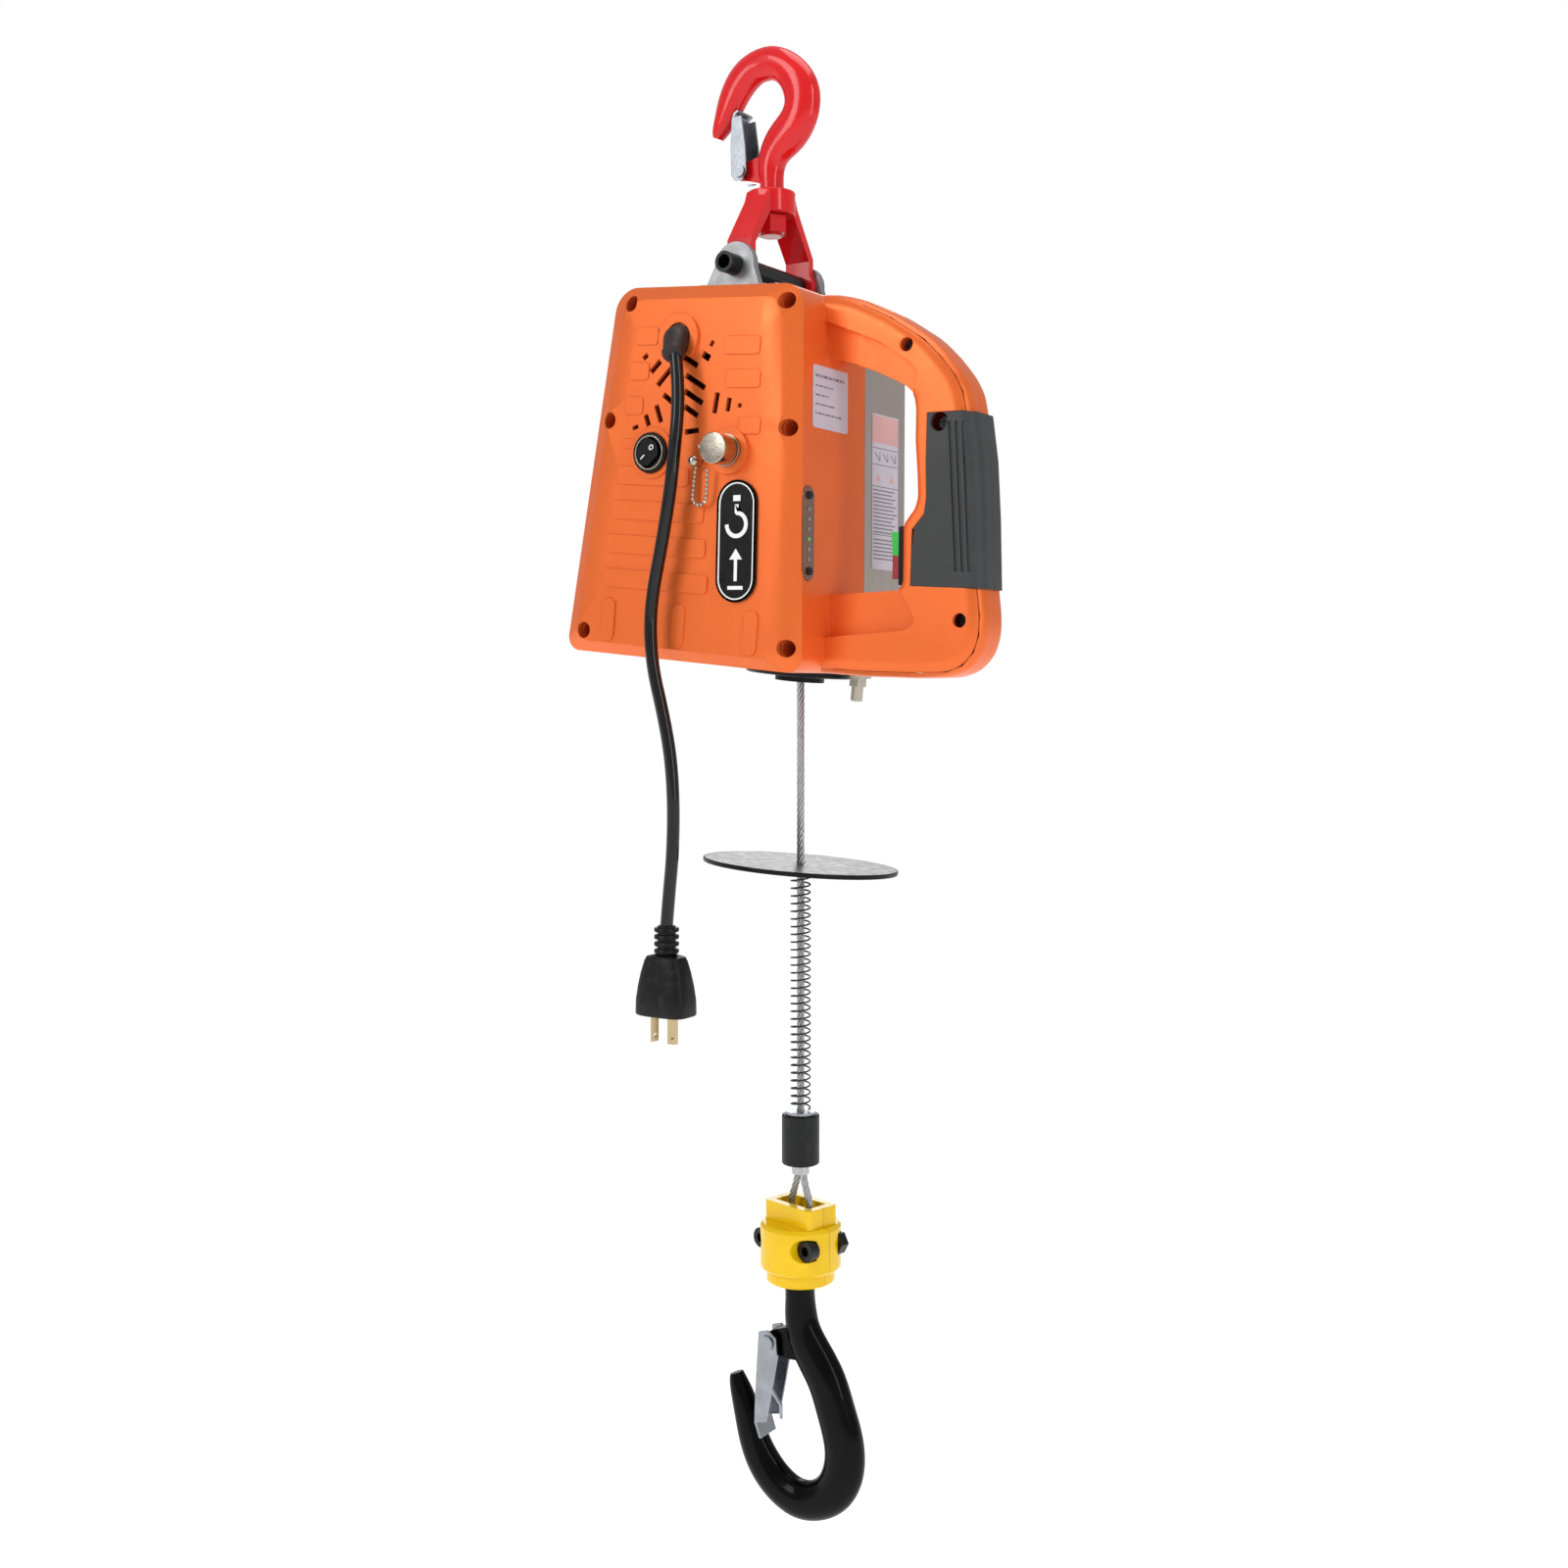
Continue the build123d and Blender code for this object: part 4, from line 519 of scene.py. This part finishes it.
for u in (-10, 0, 10):
    bits.append(pad(GL, ribbon([(u - 3, 24.6), (u + 2.4, 20.0)], 0.9), 0.28, 0.34))
    bits.append(pad(GL, ribbon([(u + 3, 25.4), (u + 3, 19.6)], 0.8), 0.28, 0.34))
V, F = merge(bits)
add("guard_label_lines", V, F, "print", "hoist", smooth=False, slot="label")
bits = [pad(GL, rect(0, 39.5, 32.2, 17), 0.28, 0.33)]
for u in (-9, 8):
    bits.append(pad(GL, [(u - 3, 6.6), (u + 3, 6.6), (u, 12.4)], 0.28, 0.34))
V, F = merge(bits)
add("guard_label_header", V, F, "print_red", "hoist", smooth=False, slot="label")

# rocker legends ride on the rocker; the thin bright ring stays on the bezel
RKF = face_fn(-32.0, -119.8, -45.0, y=FRONT - 6.62)
ring = []
for j in range(20):
    a = 2 * math.pi * j / 20
    ring.append((1.55 * math.cos(a), 4.3 + 1.9 * math.sin(a)))
inner = [(u * 0.58, 4.3 + (v - 4.3) * 0.62) for u, v in ring]
k = len(ring)
V = [RKF(u, v, o) for rr, o in ((ring, 0.0), (ring, 0.14), (inner, 0.14), (inner, 0.0)) for u, v in rr]
F = [(a * k + i, a * k + (i + 1) % k, ((a + 1) % 4) * k + (i + 1) % k, ((a + 1) % 4) * k + i) for a in range(4) for i in range(k)]
V2, F2 = pad(RKF, rect(0, -4.4, 0.8, 3.8), 0.0, 0.14)
V, F = merge([(V, F), (V2, F2)])
add("rocker_legends", V, F, "white_print", "rocker", smooth=False, slot="label")
c = B(-32.0, FRONT - 4.3, -119.8)
out = BODY.to_3x3() @ Vector((0, -1, 0))
V, F = [], []
prof = [(0.0, 0.0096), (0.0007, 0.0098), (0.0007, 0.0107), (0.0, 0.0109)]
a_, b_ = out.orthogonal().normalized(), None
b_ = out.cross(a_)
n = 64
for d, r in prof:
    for k in range(n):
        t = 2 * math.pi * k / n
        V.append(c + out * d + (a_ * math.cos(t) + b_ * math.sin(t)) * r)
for i in range(4):
    for k in range(n):
        F.append((i * n + k, i * n + (k + 1) % n, ((i + 1) % 4) * n + (k + 1) % n, ((i + 1) % 4) * n + k))
add("rocker_bright_ring", V, F, "nickel", "hoist", slot="nickel", angle=40)

# indicator lamps under the smoked window
for j, v in enumerate((-15.5, -9.5, -3.5, 2.5, 8.5, 14.5)):
    V, F = lathe([(0.0002, 0.0013), (0.0006, 0.00125), (0.0010, 0.0009), (0.0012, 0.0004)], S(-53.8, -163.0, 0, v, 0.3),
                 (BODY.to_3x3() @ Vector((math.cos(SIDE_ANG), 0, math.sin(SIDE_ANG)))), 20)
    add("lamp_%d" % j, V, F, "led_green" if j == 2 else "led", "hoist", slot="window")


# ------------------------------------------------------------------ floor, world and lights
def stage_material():
    m = bpy.data.materials.new("studio_floor")
    m.use_nodes = True
    nt = m.node_tree
    bs = nt.nodes["Principled BSDF"]
    bs.inputs["Base Color"].default_value = (0.60, 0.60, 0.60, 1)
    bs.inputs["Roughness"].default_value = 0.9
    bs.inputs["Specular IOR Level"].default_value = 0.1
    bs.inputs["Emission Color"].default_value = (1, 1, 1, 1)
    bs.inputs["Emission Strength"].default_value = 0.76
    return m


me = bpy.data.meshes.new("floor")
bm = bmesh.new()
bmesh.ops.create_circle(bm, cap_ends=True, radius=30, segments=96)
bm.to_mesh(me)
bm.free()
floor = bpy.data.objects.new("floor", me)
me.materials.append(stage_material())
floor.location = (0, 0, -1.06)
COL.objects.link(floor)

world = bpy.data.worlds.new("studio")
bpy.context.scene.world = world
world.use_nodes = True
wn = world.node_tree
bg = wn.nodes["Background"]
bg.inputs["Strength"].default_value = 0.46
bg.inputs["Color"].default_value = (1, 1, 1, 1)
bg2 = wn.nodes.new("ShaderNodeBackground")
bg2.inputs["Strength"].default_value = 1.0
bg2.inputs["Color"].default_value = (1, 1, 1, 1)
lp = wn.nodes.new("ShaderNodeLightPath")
mixs = wn.nodes.new("ShaderNodeMixShader")
wn.links.new(lp.outputs["Is Camera Ray"], mixs.inputs[0])
wn.links.new(bg.outputs[0], mixs.inputs[1])
wn.links.new(bg2.outputs[0], mixs.inputs[2])
wn.links.new(mixs.outputs[0], wn.nodes["World Output"].inputs["Surface"])


def light(name, loc, target, size, power, sy=None):
    d = bpy.data.lights.new(name, "AREA")
    d.energy = power
    d.size = size
    if sy:
        d.shape = "RECTANGLE"
        d.size_y = sy
    o = bpy.data.objects.new(name, d)
    o.location = loc
    o.rotation_euler = (Vector(target) - Vector(loc)).to_track_quat("-Z", "Y").to_euler()
    COL.objects.link(o)
    return o


light("key", (-0.75, -1.9, 0.75), (0, 0, -0.35), 0.9, 19, 1.5)
light("right", (1.9, -0.55, 0.35), (0, 0, -0.4), 0.35, 9.5, 1.8)
light("top", (0.25, 0.1, 1.1), (0, 0, -0.3), 0.9, 6.5)
light("rim", (-0.9, 1.5, 0.3), (0, 0, -0.4), 0.5, 6, 1.4)
